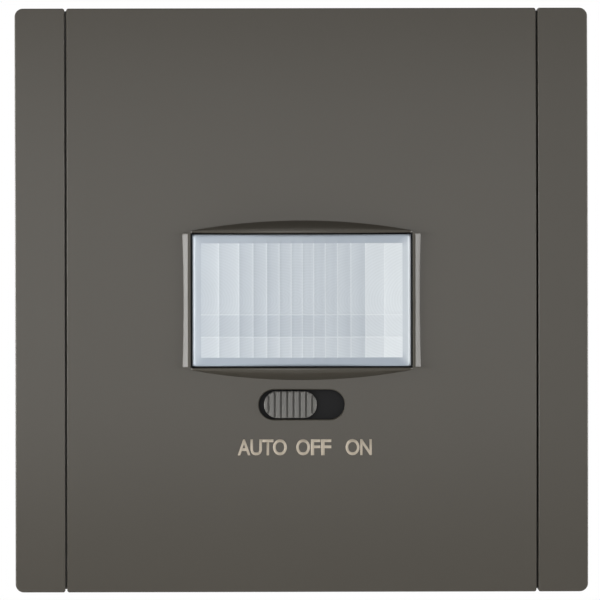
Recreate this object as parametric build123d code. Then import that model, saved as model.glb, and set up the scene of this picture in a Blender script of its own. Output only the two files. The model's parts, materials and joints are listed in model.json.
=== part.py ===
from build123d import *
import math
import os

# Frame of reference: x to the right, z up, y into the wall. The wall face is y = 0, and the
# origin is the middle of the device on the wall. Depths in front of the wall are negative y.

# Face plate and side bars
plate_width = 86.2
plate_height = 87.9
side_bar_width = 7.45
groove_width = 0.35
face_depth = 11.5
crown_rise = 3.2
outer_corner = 1.25
inner_corner = 0.35
edge_break = 0.16
bar_wall = 1.4
base_setback = 0.37
base_thickness = 2.6
cut_overrun = 1.0

# Front cover
cover_wall = 1.8
cover_side_wall = 1.5
cover_seam = 0.2

# Window, lips and lens
lens_width = 32.8
lens_height = 19.8
lens_radius = 74.0
lens_proud = 2.7
lens_wall = 0.7
lens_gap = 0.23
lip_radius = 47.0
lip_proud = 3.0
lip_edge = 0.4
lip_draft = 30.0
lip_round = 1.2
cheek_ledge = 0.4
cheek_proud = 0.65
cheek_slope = 0.65
cheek_sink = 0.4

# Lens holder
seat_wall = 2.1
seat_margin = 0.6
holder_side_rim = 2.32
holder_end_rim = 2.17
holder_thickness = 2.6
holder_corner = 1.5
lens_seat_depth = 1.0
lens_seat_ledge = 1.3

# Mode slider and its slot
slot_width = 12.9
slot_height = 4.5
knob_width = 7.95
knob_height = 4.0
knob_proud = 0.5
knob_end_play = 0.76
knob_travel = 4.0
knob_rib_count = 8
knob_rib_pitch = 0.94
knob_groove_width = 0.46
knob_groove_depth = 0.4
carrier_gap = 0.2
carrier_thickness = 0.8
carrier_height = 6.4
carrier_margin = 0.5
carrier_holder_gap = 0.2
fork_wall = 0.8
fork_length = 1.6
fork_fit = 0.05

# Slide switch
switch_width = 12.0
switch_depth = 4.4
switch_height = 4.2
switch_wall = 0.4
switch_play = 0.1
lever_width = 1.8
lever_height = 1.4
lever_foot_width = 4.4
lever_foot_thickness = 1.1
lever_engagement = 1.3

# Sensor unit housing
module_side_share = 0.406
module_end_room = 14.25
module_corner = 3.0
module_wall = 1.3
tray_floor = 1.4
tray_rear_gap = 2.2
tray_rim_gap = 0.4
pot_switch_room = 2.9
pot_side_clearance = 0.8
pot_round_clearance = 1.0
pot_floor = 1.2
boss_inset = 3.9
boss_radius = 2.6
boss_joint_depth = 7.2
locating_post_radius = 1.5
locating_post_side_inset = 10.2
locating_post_end_inset = 3.2
locating_clearance = 0.1
locating_end_gap = 0.2

# Small screws
screw_radius = 1.1
screw_head_radius = 2.0
screw_head_height = 1.1
screw_fit = 0.02
screw_clearance = 0.15
module_screw_length = 6.0
board_screw_length = 4.4
slot_cut_width = 0.5
slot_cut_depth = 0.5

# Sensor board and what is soldered on it
board_clearance = 0.3
board_thickness = 1.0
board_post_inset = 2.4
board_post_radius = 1.9
sensor_flange_radius = 4.6
sensor_flange_height = 0.5
sensor_can_radius = 4.1
sensor_can_height = 4.2
sensor_can_wall = 0.35
sensor_window_width = 4.8
sensor_window_height = 3.6
sensor_filter_margin = 0.5
sensor_filter_thickness = 0.5
lamp_radius = 1.5
lamp_height = 2.6
lamp_x = 11.5
lamp_z = 5.5
chip_width = 7.5
chip_length = 7.8
chip_height = 2.3
chip_x = -11.0
chip_z = -7.6
amplifier_width = 3.9
amplifier_length = 4.9
amplifier_height = 1.5
amplifier_x = 7.0
amplifier_z = -8.0
small_capacitor_radius = 2.5
small_capacitor_height = 5.4
small_capacitor_x = 12.6
small_capacitor_z = -9.6
resistor_count = 6
resistor_pitch = 2.9
resistor_width = 1.25
resistor_length = 2.0
resistor_height = 0.5
resistor_z = 9.4

# Adjusting dials
dial_body_size = 6.0
dial_body_height = 2.2
dial_radius = 2.2
dial_thickness = 1.3
dial_fit = 0.05
dial_notch_width = 0.7
dial_notch_depth = 0.6
dial_access_radius = 2.6
dial_post_gap = 0.8
dial_floor_gap = 1.0
dial_side_z = -3.0
dial_row_gap = 0.5

# Plug between sensor unit and insert
pin_count = 5
pin_pitch = 2.54
pin_width = 0.64
pin_end_gap = 0.5
plug_strip_height = 2.5
plug_strip_width = 2.5
plug_z = 12.7
plug_opening_margin = 0.6
contact_wall = 0.3
contact_fit = 0.05
contact_length = 5.0
socket_strip_width = 3.0

# Support ring
ring_side_inset = 7.6
ring_end_inset = 8.45
ring_corner = 4.0
ring_thickness = 1.2
ring_clearance = 0.4
frame_web_width = 2.2
device_screw_inset = 5.5
device_slot_length = 7.4
device_slot_radius = 2.1
ring_screw_angle = 20.0
ring_screw_head_radius = 2.0
ring_screw_length = 6.0

# Insert housing and lid
insert_wall = 1.5
insert_flat_depth = 4.5
rim_step = 0.2
rim_width = 3.3
lid_gap = 0.7
lid_thickness = 1.4
lid_clearance = 0.15
lid_screw_radius = 0.7
lid_screw_head_radius = 1.2
lid_screw_length = 4.0
lid_screw_boss_radius = 1.4
lid_screw_boss_gap = 0.4
lid_post_radius = 2.0
lid_post_length = 4.5
lid_post_gap = 1.0
lid_post_high_z = 10.0
lid_post_low_z = -11.0

# Power board and what is soldered on it
power_board_thickness = 1.6
power_board_gap = 0.4
relay_width = 28.0
relay_height = 12.4
relay_depth = 15.2
relay_top_gap = 1.1
relay_rear_gap = 2.7
relay_lower_gap = 0.7
film_capacitor_width = 17.5
film_capacitor_height = 5.0
film_capacitor_depth = 11.0
film_capacitor_side_gap = 2.65
bulk_capacitor_radius = 4.0
bulk_capacitor_depth = 12.0
bulk_capacitor_x = 8.8
bulk_capacitor_rim = 0.3
choke_radius = 4.3
choke_hole_radius = 1.6
choke_depth = 6.0
choke_side_gap = 3.2
choke_top_gap = 0.4
fuse_radius = 4.0
fuse_depth = 7.6
fuse_side_gap = 1.0
fuse_top_gap = 1.0
varistor_radius = 4.2
varistor_thickness = 3.2
varistor_side_gap = 1.6
varistor_z = 1.4
rectifier_width = 6.4
rectifier_height = 3.6
rectifier_depth = 5.0
rectifier_side_gap = 1.2
rectifier_top_gap = 1.5

# Terminals
terminal_count = 4
terminal_pitch = 7.0
cage_width = 5.8
cage_wall = 0.7
cage_depth = 8.0
cage_top_z = -9.0
cage_top_wall = 0.8
cage_foot_wall = 1.2
wire_space = 4.6
tongue_width = 3.6
tongue_thickness = 0.8
cage_rear_gap = 1.0
tongue_rear_gap = 1.5
cage_side_play = 0.15
cage_travel_room = 1.8
terminal_screw_radius = 1.2
terminal_head_radius = 1.9
terminal_head_height = 1.4
terminal_head_sink = 0.1
terminal_head_hole_radius = 2.2
terminal_tip_gap = 0.05
terminal_screw_fit = 0.05
wire_mouth = 5.0

# Claws
claw_side_gap = 0.4
claw_screw_z = 5.5
claw_screw_radius = 1.5
claw_head_radius = 2.7
claw_head_height = 1.7
claw_screw_length = 21.0
claw_screw_fit = 0.08
claw_nut_size = 5.0
claw_nut_thickness = 2.6
claw_nut_y = 16.3
claw_pin_radius = 0.9
claw_pin_fit = 0.05
claw_sheet = 0.8
claw_cheek_gap = 0.2
claw_web_gap = 0.6
claw_front_reach = 9.8
claw_rear_reach = 1.2
claw_arm_width = 2.2
claw_tooth_count = 3
claw_tooth_depth = 0.9

# Sizes that follow from the ones above
half_height = plate_height / 2
cover_width = plate_width - 2 * (side_bar_width + groove_width)
cover_half_width = cover_width / 2
bar_inner_x = plate_width / 2 - side_bar_width
crown_radius = (half_height ** 2 + crown_rise ** 2) / (2 * crown_rise)
crown_centre_y = crown_radius - face_depth
cover_back_y = -base_thickness - cover_seam
window_width = lens_width + 2 * (lens_gap + cheek_ledge + cheek_slope)
window_height = lens_height + 2 * lens_gap
holder_width = window_width + 2 * holder_side_rim
holder_height = window_height + 2 * holder_end_rim
slot_drop = holder_height / 2 + carrier_holder_gap + carrier_height / 2
holder_front_y = -face_depth + seat_wall
holder_back_y = holder_front_y + holder_thickness
lens_apex_y = -face_depth - lens_proud
lens_seat_y = holder_front_y + lens_seat_depth
knob_rest_x = -(slot_width / 2 - knob_end_play - knob_width / 2)
carrier_left_x = -slot_width / 2 - knob_travel - carrier_margin
carrier_right_x = slot_width / 2 + carrier_margin
slot_back_y = crown_centre_y - math.sqrt((crown_radius - cover_wall) ** 2 - slot_drop ** 2)
carrier_front_y = slot_back_y + carrier_gap
carrier_back_y = carrier_front_y + carrier_thickness
ring_width = plate_width - 2 * ring_side_inset
ring_height = plate_height - 2 * ring_end_inset
pocket_width = ring_width + 2 * ring_clearance
pocket_height = ring_height + 2 * ring_clearance
cover_inner_width = cover_width - 2 * cover_side_wall
module_width = cover_inner_width - module_side_share * (cover_inner_width - holder_width)
module_height = plate_height - 2 * (cover_side_wall + module_end_room)
locating_post_x = module_width / 2 - locating_post_side_inset
locating_post_z = module_height / 2 - locating_post_end_inset
tray_back_y = -ring_thickness - tray_rear_gap
tray_front_y = tray_back_y - tray_floor
boss_x = module_width / 2 - boss_inset
boss_z = module_height / 2 - boss_inset
board_back_y = 0
board_front_y = board_back_y - board_thickness
pot_floor_y = dial_body_height + dial_floor_gap
pot_depth = pot_floor_y + pot_floor
pot_radius = slot_drop + switch_height / 2 + pot_switch_room + module_wall
ring_opening_radius = pot_radius + pot_round_clearance
rim_inner_radius = ring_opening_radius + rim_step
insert_radius = rim_inner_radius + rim_width
ring_screw_circle = (rim_inner_radius + insert_radius) / 2
cavity_radius = insert_radius - insert_wall
insert_half_height = insert_radius - insert_flat_depth
cavity_half_height = insert_half_height - insert_wall
lid_post_x = relay_width / 2 + lid_post_gap + lid_post_radius
cavity_half_width = lid_post_x + lid_post_radius + lid_post_gap
insert_half_width = cavity_half_width + insert_wall
pot_half_width = cavity_half_width - pot_side_clearance
board_radius = pot_radius - module_wall - board_clearance
board_half_width = pot_half_width - module_wall - board_clearance
board_post_x = min(board_half_width, board_radius) - board_post_inset
dial_side_x = board_post_x - board_post_radius - dial_post_gap - dial_body_size / 2
dial_middle_z = dial_side_z - dial_body_size - dial_row_gap
lid_front_y = pot_depth + lid_gap
rim_depth = lid_front_y + lid_thickness
pin_reach = lid_front_y + contact_length - pin_end_gap
power_board_y = rim_depth + lid_post_length
power_board_back_y = power_board_y + power_board_thickness
insert_rear_y = power_board_back_y + relay_depth + relay_rear_gap
insert_depth = insert_rear_y + insert_wall
relay_z = cavity_half_height - relay_top_gap - relay_height / 2
relay_low_z = relay_z - relay_height / 2 - relay_lower_gap
film_capacitor_x = film_capacitor_side_gap + film_capacitor_width / 2 - cavity_half_width
film_capacitor_z = relay_low_z - film_capacitor_height / 2
film_capacitor_low_z = film_capacitor_z - film_capacitor_height / 2
bulk_capacitor_z = relay_low_z - bulk_capacitor_radius
choke_x = choke_side_gap + choke_radius - cavity_half_width
choke_z = film_capacitor_low_z - choke_top_gap - choke_radius
fuse_x = choke_x + choke_radius + fuse_side_gap + fuse_radius
fuse_z = film_capacitor_low_z - fuse_top_gap - fuse_radius
rectifier_x = fuse_x + fuse_radius + rectifier_side_gap + rectifier_width / 2
rectifier_z = bulk_capacitor_z - bulk_capacitor_radius - rectifier_top_gap - rectifier_height / 2
varistor_x = cavity_half_width - varistor_side_gap - varistor_thickness / 2
claw_screw_x = insert_half_width + claw_side_gap + claw_nut_size / 2
tongue_top_z = cage_top_z - cage_top_wall - wire_space
tongue_bottom_z = tongue_top_z - tongue_thickness
cage_back_y = insert_rear_y - cage_rear_gap
cage_front_y = cage_back_y - cage_depth
cage_middle_y = (cage_front_y + cage_back_y) / 2
terminal_head_z = -insert_half_height + terminal_head_sink
terminal_shank_z = terminal_head_z + terminal_head_height
cage_foot_z = terminal_shank_z + cage_travel_room
wire_middle_z = tongue_top_z + wire_space / 2


def front_plane(y):
    """Plane parallel to the wall at depth y, whose sketches read as x and z seen from the front."""
    return Plane(origin=(0, y, 0), x_dir=(1, 0, 0), z_dir=(0, -1, 0))


def slab(sketch, y_front, y_back):
    """Solid with this front outline between two depths."""
    return extrude(front_plane(y_back) * sketch, amount=y_back - y_front)


def round_pin(radius, y_front, y_back, x=0, z=0):
    """Cylinder along the depth."""
    return slab(Pos(x, z) * Circle(radius), y_front, y_back)


def block(width, height, y_front, y_back, x=0, z=0):
    """Box with a given width and height between two depths."""
    return slab(Pos(x, z) * Rectangle(width, height), y_front, y_back)


def upright_pin(radius, z_low, z_high, x, y):
    """Cylinder along z."""
    return Pos(x, y, (z_low + z_high) / 2) * Cylinder(radius, z_high - z_low)


def box_between(x_low, x_high, y_low, y_high, z_low, z_high):
    """Box given by its lowest and highest corners."""
    middle = Pos((x_low + x_high) / 2, (y_low + y_high) / 2, (z_low + z_high) / 2)
    return middle * Box(x_high - x_low, y_high - y_low, z_high - z_low)


def flatted_disc(radius, half_width, half_tall=None):
    """Disc cut flat at its left and right, and also at its top and bottom if asked."""
    tall = radius if half_tall is None else half_tall
    return Circle(radius) & Rectangle(2 * half_width, 2 * tall)


def mirrored_places(x, z):
    """The four places at plus and minus x and z."""
    return [(sx * x, sz * z) for sx in (-1, 1) for sz in (-1, 1)]


def group(pieces):
    """Separate solids kept together in one node."""
    return Compound([solid for piece in pieces for solid in piece.solids()])


def crowned_block(x_left, x_right, tall, y_back, inset=0):
    """Block whose front follows the crown of the face, set back by the inset."""
    radius = crown_radius - inset
    edge_y = crown_centre_y - math.sqrt(radius ** 2 - tall ** 2)
    apex_y = crown_centre_y - radius
    outline = make_face([
        Line((y_back, -tall), (edge_y, -tall)),
        ThreePointArc((edge_y, -tall), (apex_y, 0), (edge_y, tall)),
        Line((edge_y, tall), (y_back, tall)),
        Line((y_back, tall), (y_back, -tall)),
    ])
    return extrude(Plane.YZ.offset(x_left) * outline, amount=x_right - x_left)


def break_front_edges(solid, y_limit, size):
    """Small chamfer round the front outline of a crowned block."""
    front = [e for e in solid.edges() if e.center().Y < y_limit and e.bounding_box().max.Y < y_limit]
    return chamfer(front, size)


def screw(head_radius, head_height, radius, length, y_head, x, z):
    """Screw driven from behind: its slotted head lies at y_head and its shank points forward."""
    head = round_pin(head_radius, y_head, y_head + head_height, x, z)
    shank = round_pin(radius, y_head - length, y_head, x, z)
    cut = block(2 * head_radius, slot_cut_width, y_head + head_height - slot_cut_depth,
                y_head + head_height + cut_overrun, x, z)
    return head + shank - cut


def front_screw(head_radius, head_height, radius, length, y_head, x, z):
    """Screw driven from the front: its slotted head ends at y_head and its shank points backward."""
    head = round_pin(head_radius, y_head - head_height, y_head, x, z)
    shank = round_pin(radius, y_head, y_head + length, x, z)
    cut = block(2 * head_radius, slot_cut_width, y_head - head_height - cut_overrun,
                y_head - head_height + slot_cut_depth, x, z)
    return head + shank - cut


def lip_drum():
    """Drum about a vertical axis with rounded, coned ends, whose front stands proud as two lips."""
    half = window_height / 2 + lip_edge
    sink = lip_proud + cover_wall / 2
    cone_height = sink * math.tan(math.radians(lip_draft))
    axis_y = -face_depth - lip_proud + lip_radius
    drum = Pos(0, axis_y, 0) * Cylinder(lip_radius, 2 * half)
    upper = Pos(0, axis_y, half + cone_height / 2) * Cone(lip_radius, lip_radius - sink, cone_height)
    lower = mirror(upper, Plane.XY)
    body = drum + upper + lower
    crests = [e for e in body.edges().filter_by(GeomType.CIRCLE)
              if abs(abs(e.center().Z) - half) < cut_overrun / 2]
    body = fillet(crests, lip_round)
    front = block(window_width, 2 * (half + cone_height), -face_depth - lip_proud - cut_overrun,
                  -face_depth + cover_wall / 2)
    return body & front


def cheeks():
    """Raised edge beside each end of the lens, with a flat top and a slanted outer flank."""
    inner = lens_width / 2 + lens_gap - cheek_sink
    ledge = lens_width / 2 + lens_gap + cheek_ledge
    foot = ledge + (cheek_proud + cheek_sink) * cheek_slope / cheek_proud
    top_y = -face_depth - cheek_proud
    foot_y = -face_depth + cheek_sink
    outline = make_face(Polyline(
        (inner, top_y), (ledge, top_y), (foot, foot_y), (inner, foot_y), (inner, top_y)))
    right = extrude(Plane.XY.offset(-window_height / 2) * outline, amount=window_height)
    return right + mirror(right, Plane.YZ)


def front_cover():
    """Crowned plate with the window, the two lips, the slider's slot and four screw bosses."""
    plate = crowned_block(-cover_half_width, cover_half_width, half_height, cover_back_y)
    plate = fillet(plate.edges().filter_by(Axis.Y), inner_corner)
    plate = break_front_edges(plate, cover_back_y - cover_wall, edge_break)
    inner_half = cover_half_width - cover_side_wall
    plate -= crowned_block(-inner_half, inner_half, half_height - cover_side_wall,
                           cover_back_y + cut_overrun, cover_wall)
    plate += block(holder_width + 2 * seat_margin, holder_height + 2 * seat_margin,
                   -face_depth + cover_wall / 2, holder_front_y)
    for x, z in mirrored_places(boss_x, boss_z):
        front = crown_centre_y - math.sqrt(crown_radius ** 2 - z ** 2) + cover_wall / 2
        plate += round_pin(boss_radius, front, -boss_joint_depth, x, z)
        plate -= round_pin(screw_radius + screw_fit, front, -boss_joint_depth + cut_overrun, x, z)
    plate += lip_drum()
    plate += cheeks()
    plate -= block(lens_width + 2 * lens_gap, window_height, -face_depth - lip_proud - cut_overrun, 0)
    plate -= slab(Pos(0, -slot_drop) * SlotOverall(slot_width, slot_height),
                  -face_depth - cut_overrun, 0)
    return plate


def design_frame():
    """Base ring on the wall with the two crowned side bars, moulded in one."""
    base_height = plate_height - 2 * base_setback
    frame = slab(RectangleRounded(plate_width, base_height, outer_corner), -base_thickness, 0)
    outer_x = plate_width / 2
    for side in (-1, 1):
        ends = sorted((side * bar_inner_x, side * outer_x))
        bar = crowned_block(ends[0], ends[1], half_height, 0)
        upright = bar.edges().filter_by(Axis.Y)
        outer = [e for e in upright if abs(e.center().X) > outer_x - bar_wall]
        bar = fillet(outer, outer_corner)
        inner = [e for e in bar.edges().filter_by(Axis.Y) if abs(e.center().X) < bar_inner_x + bar_wall]
        bar = fillet([e for e in inner if abs(e.center().X) - bar_inner_x < edge_break], inner_corner)
        bar = break_front_edges(bar, -base_thickness, edge_break)
        hollow = sorted((side * (bar_inner_x + bar_wall), side * (outer_x - bar_wall)))
        frame += bar
        frame -= crowned_block(hollow[0], hollow[1], half_height - bar_wall, cut_overrun, bar_wall)
    frame -= slab(RectangleRounded(pocket_width, pocket_height, ring_corner), -ring_thickness,
                  cut_overrun)
    opening = RectangleRounded(pocket_width - 2 * frame_web_width, pocket_height - 2 * frame_web_width,
                               ring_corner - frame_web_width / 2)
    frame -= slab(opening, -base_thickness - cut_overrun, cut_overrun)
    return frame


def lens():
    """Curved milky sheet with side walls that stand on the holder's ledge."""
    def bowl(width, height, radius, y_back):
        axis_y = lens_apex_y + lens_radius
        body = block(width, height, lens_apex_y - cut_overrun, y_back)
        return body & (Pos(0, axis_y, 0) * Cylinder(radius, height))
    outer = bowl(lens_width, lens_height, lens_radius, lens_seat_y)
    inner = bowl(lens_width - 2 * lens_wall, lens_height - 2 * lens_wall, lens_radius - lens_wall,
                 lens_seat_y + cut_overrun)
    return outer - inner


def lens_holder():
    """Dark ring behind the window, with a pocket whose ledge carries the lens."""
    ring = slab(RectangleRounded(holder_width, holder_height, holder_corner), holder_front_y,
                holder_back_y)
    ring -= block(lens_width + 2 * lens_gap, lens_height + 2 * lens_gap,
                  holder_front_y - cut_overrun, lens_seat_y)
    ring -= block(lens_width - 2 * lens_seat_ledge, lens_height - 2 * lens_seat_ledge,
                  holder_front_y - cut_overrun, holder_back_y + cut_overrun)
    return ring


def slider_knob():
    """Ribbed thumb piece with the strip that closes the slot and the fork for the switch lever."""
    front_y = crown_centre_y - math.sqrt(crown_radius ** 2 - slot_drop ** 2) - knob_proud
    knob = slab(Pos(knob_rest_x, -slot_drop) * SlotOverall(knob_width, knob_height), front_y,
                carrier_front_y)
    for i in range(knob_rib_count):
        x = knob_rest_x + (i - (knob_rib_count - 1) / 2) * knob_rib_pitch
        knob -= block(knob_groove_width, knob_height, front_y - cut_overrun,
                      front_y + knob_groove_depth, x, -slot_drop)
    half = carrier_height / 2
    knob += box_between(carrier_left_x, carrier_right_x, carrier_front_y, carrier_back_y,
                        -slot_drop - half, -slot_drop + half)
    for side in (-1, 1):
        x = knob_rest_x + side * (lever_width / 2 + fork_fit + fork_wall / 2)
        knob += block(fork_wall, lever_height, carrier_back_y, carrier_back_y + fork_length,
                      x, -slot_drop)
    return knob


def slide_switch_shell():
    """Metal shell of the slide switch, open to the board, with a slot for its lever."""
    front_y = board_front_y - switch_depth
    middle_x = knob_rest_x + knob_travel / 2
    shell = block(switch_width, switch_height, front_y, board_front_y, middle_x, -slot_drop)
    shell -= block(switch_width - 2 * switch_wall, switch_height - 2 * switch_wall,
                   front_y + switch_wall, board_front_y + cut_overrun, middle_x, -slot_drop)
    shell -= block(lever_width + knob_travel + 2 * switch_play, lever_height + 2 * switch_play,
                   front_y - cut_overrun, front_y + 2 * switch_wall, middle_x, -slot_drop)
    return shell


def slide_switch_lever():
    """Lever that stands out of the slide switch into the fork."""
    shell_y = board_front_y - switch_depth + switch_wall
    tip_y = carrier_back_y + fork_length - lever_engagement
    stem = block(lever_width, lever_height, tip_y, shell_y + switch_play, knob_rest_x, -slot_drop)
    foot = block(lever_foot_width, switch_height - 2 * (switch_wall + switch_play),
                 shell_y + switch_play, shell_y + switch_play + lever_foot_thickness,
                 knob_rest_x, -slot_drop)
    return stem + foot


def module_housing():
    """Tray behind the cover, with a deep pot that passes through the support ring."""
    outline = RectangleRounded(module_width, module_height, module_corner)
    inner = RectangleRounded(module_width - 2 * module_wall, module_height - 2 * module_wall,
                             module_corner - module_wall)
    tray = slab(outline, tray_front_y, tray_back_y)
    edge_y = crown_centre_y - math.sqrt((crown_radius - cover_wall) ** 2 - (module_height / 2) ** 2)
    rim_y = edge_y + tray_rim_gap
    wall = slab(outline, rim_y, tray_front_y) - slab(inner, rim_y - cut_overrun, tray_front_y)
    pot = slab(flatted_disc(pot_radius, pot_half_width), tray_front_y, pot_depth)
    hollow = slab(flatted_disc(pot_radius - module_wall, pot_half_width - module_wall),
                  tray_front_y - cut_overrun, pot_floor_y)
    housing = tray + wall + pot - hollow
    for side in (-1, 1):
        housing += round_pin(board_post_radius, board_back_y, pot_floor_y, side * board_post_x)
        housing -= round_pin(screw_radius + screw_fit, board_back_y - cut_overrun,
                             pot_floor_y, side * board_post_x)
    for x, z in mirrored_places(boss_x, boss_z):
        housing += round_pin(boss_radius, -boss_joint_depth, tray_front_y, x, z)
        housing -= round_pin(screw_radius + screw_clearance, -boss_joint_depth - cut_overrun,
                             tray_back_y + cut_overrun, x, z)
        housing -= round_pin(screw_head_radius + screw_clearance, tray_back_y - screw_head_height,
                             tray_back_y + cut_overrun, x, z)
    for x, z in mirrored_places(locating_post_x, locating_post_z):
        housing += round_pin(locating_post_radius, tray_back_y, -locating_end_gap, x, z)
    for x, z in dial_places():
        housing -= round_pin(dial_access_radius, pot_floor_y - cut_overrun, pot_depth + cut_overrun, x, z)
    opening = pin_count * pin_pitch + 2 * plug_opening_margin
    housing -= block(opening, plug_strip_width + 2 * plug_opening_margin, pot_floor_y - cut_overrun,
                     pot_depth + cut_overrun, 0, plug_z)
    return housing


def module_screws():
    """Four screws that hold the tray on the cover."""
    head_y = tray_back_y - screw_head_height
    return group([screw(screw_head_radius, screw_head_height, screw_radius, module_screw_length
                        - screw_head_height, head_y, x, z)
                  for x, z in mirrored_places(boss_x, boss_z)])


def sensor_board():
    """Circuit board of the sensor unit."""
    board = slab(flatted_disc(board_radius, board_half_width), board_front_y, board_back_y)
    for side in (-1, 1):
        board -= round_pin(screw_radius + screw_clearance, board_front_y - cut_overrun,
                           board_back_y + cut_overrun, side * board_post_x)
    return board


def board_screws():
    """Two screws that hold the sensor board on its posts."""
    return group([front_screw(screw_head_radius, screw_head_height, screw_radius,
                              board_screw_length - screw_head_height, board_front_y,
                              side * board_post_x, 0) for side in (-1, 1)])


def infrared_sensor_can():
    """Round metal can of the infrared sensor, with a window in its front."""
    top_y = board_front_y - sensor_can_height
    can = round_pin(sensor_can_radius, top_y, board_front_y)
    can += round_pin(sensor_flange_radius, board_front_y - sensor_flange_height, board_front_y)
    can -= round_pin(sensor_can_radius - sensor_can_wall, top_y + sensor_can_wall,
                     board_front_y + cut_overrun)
    can -= block(sensor_window_width, sensor_window_height, top_y - cut_overrun,
                 top_y + 2 * sensor_can_wall)
    return can


def infrared_filter():
    """Filter pane seated behind the window of the can."""
    front_y = board_front_y - sensor_can_height + sensor_can_wall
    return block(sensor_window_width + 2 * sensor_filter_margin,
                 sensor_window_height + 2 * sensor_filter_margin, front_y,
                 front_y + sensor_filter_thickness)


def domed_lamp(x, z):
    """Small round component with a domed front."""
    neck_y = board_front_y - lamp_height
    body = round_pin(lamp_radius, neck_y, board_front_y, x, z)
    return body + Pos(x, neck_y, z) * Sphere(lamp_radius)


def small_capacitor():
    """Small electrolytic capacitor on the sensor board."""
    return round_pin(small_capacitor_radius, board_front_y - small_capacitor_height, board_front_y,
                     small_capacitor_x, small_capacitor_z)


def resistors():
    """Row of small resistors on the sensor board."""
    pieces = []
    for i in range(resistor_count):
        x = (i - (resistor_count - 1) / 2) * resistor_pitch
        pieces.append(block(resistor_width, resistor_length, board_front_y - resistor_height,
                            board_front_y, x, resistor_z))
    return group(pieces)


def dial_places():
    """Places of the time, brightness and range dials."""
    return [(-dial_side_x, dial_side_z), (0, dial_middle_z), (dial_side_x, dial_side_z)]


def dial_bodies():
    """Square bodies of the three dials on the back of the sensor board."""
    pieces = []
    for x, z in dial_places():
        body = block(dial_body_size, dial_body_size, board_back_y, dial_body_height, x, z)
        body -= round_pin(dial_radius + dial_fit, dial_body_height - dial_thickness - dial_fit,
                          dial_body_height + cut_overrun, x, z)
        pieces.append(body)
    return group(pieces)


def dial(x, z):
    """Turning disc with a notch for a screwdriver that also shows its setting."""
    disc = round_pin(dial_radius, dial_body_height - dial_thickness, dial_body_height, x, z)
    notch_front = dial_body_height - dial_notch_depth
    disc -= block(dial_notch_width, 2 * dial_radius, notch_front, dial_body_height + cut_overrun, x,
                  z + dial_radius / 2)
    disc -= block(dial_radius, dial_notch_width, notch_front, dial_body_height + cut_overrun, x, z)
    return disc


def pin_places():
    """Sideways places of the plug pins."""
    return [(i - (pin_count - 1) / 2) * pin_pitch for i in range(pin_count)]


def plug_strip():
    """Plastic strip that holds the plug pins on the sensor board."""
    strip = block(pin_count * pin_pitch, plug_strip_width, board_back_y, plug_strip_height, 0, plug_z)
    for x in pin_places():
        strip -= block(pin_width, pin_width, board_back_y - cut_overrun,
                       plug_strip_height + cut_overrun, x, plug_z)
    return strip


def plug_pins():
    """Square pins that carry power and signals between sensor unit and insert."""
    return group([block(pin_width, pin_width, board_back_y, pin_reach, x, plug_z)
                  for x in pin_places()])


def socket_strip():
    """Socket on the power board that reaches up into the lid."""
    cavity = pin_width + 2 * (contact_fit + contact_wall)
    strip = block(pin_count * pin_pitch, socket_strip_width, lid_front_y, power_board_y, 0, plug_z)
    for x in pin_places():
        strip -= block(cavity, cavity, lid_front_y - cut_overrun, lid_front_y + contact_length,
                       x, plug_z)
    return strip


def socket_contacts():
    """Square contact sleeves inside the socket."""
    bore = pin_width + 2 * contact_fit
    cavity = bore + 2 * contact_wall
    pieces = []
    for x in pin_places():
        sleeve = block(cavity, cavity, lid_front_y, lid_front_y + contact_length, x, plug_z)
        sleeve -= block(bore, bore, lid_front_y - cut_overrun,
                        lid_front_y + contact_length + cut_overrun, x, plug_z)
        pieces.append(sleeve)
    return group(pieces)


def ring_screw_places():
    """Places of the four screws that hold the support ring on the insert."""
    angle = math.radians(ring_screw_angle)
    return mirrored_places(ring_screw_circle * math.sin(angle), ring_screw_circle * math.cos(angle))


def claw_sides():
    """Side signs of the two claws: the right one sits above the middle, the left one below."""
    return ((-1, "left"), (1, "right"))


def support_ring():
    """Steel plate on the wall with the slots for the wall box's screws."""
    ring = slab(RectangleRounded(ring_width, ring_height, ring_corner), -ring_thickness, 0)
    ring -= slab(flatted_disc(ring_opening_radius, cavity_half_width),
                 -ring_thickness - cut_overrun, cut_overrun)
    place_x = ring_width / 2 - device_screw_inset
    place_z = ring_height / 2 - device_screw_inset
    across = SlotOverall(device_slot_length, 2 * device_slot_radius)
    upright = Rot(0, 0, 90) * across
    for side in (-1, 1):
        for outline in (Pos(side * place_x, 0) * across, Pos(0, side * place_z) * upright):
            ring -= slab(outline, -ring_thickness - cut_overrun, cut_overrun)
        ring -= round_pin(claw_screw_radius + claw_screw_fit, -ring_thickness - cut_overrun,
                          cut_overrun, side * claw_screw_x, side * claw_screw_z)
    for x, z in ring_screw_places():
        ring -= round_pin(screw_radius + screw_clearance, -ring_thickness - cut_overrun,
                          cut_overrun, x, z)
        ring -= countersink(x, z)
    for x, z in mirrored_places(locating_post_x, locating_post_z):
        ring -= round_pin(locating_post_radius + locating_clearance,
                          -ring_thickness - cut_overrun, cut_overrun, x, z)
    return ring


def countersink(x, z):
    """Cone that sinks a ring screw's head into the support ring."""
    cone = Cone(screw_radius, ring_screw_head_radius, ring_screw_head_radius - screw_radius)
    middle_y = -ring_thickness + (ring_screw_head_radius - screw_radius) / 2
    return Pos(x, middle_y, z) * Rot(90, 0, 0) * cone


def ring_screws():
    """Four countersunk screws that join support ring and insert."""
    pieces = []
    for x, z in ring_screw_places():
        body = countersink(x, z) + round_pin(screw_radius, -ring_thickness
                                             + ring_screw_head_radius - screw_radius,
                                             ring_screw_length - ring_thickness, x, z)
        body -= block(2 * ring_screw_head_radius, slot_cut_width, -ring_thickness - cut_overrun,
                      -ring_thickness + slot_cut_depth, x, z)
        pieces.append(body)
    return group(pieces)


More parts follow.
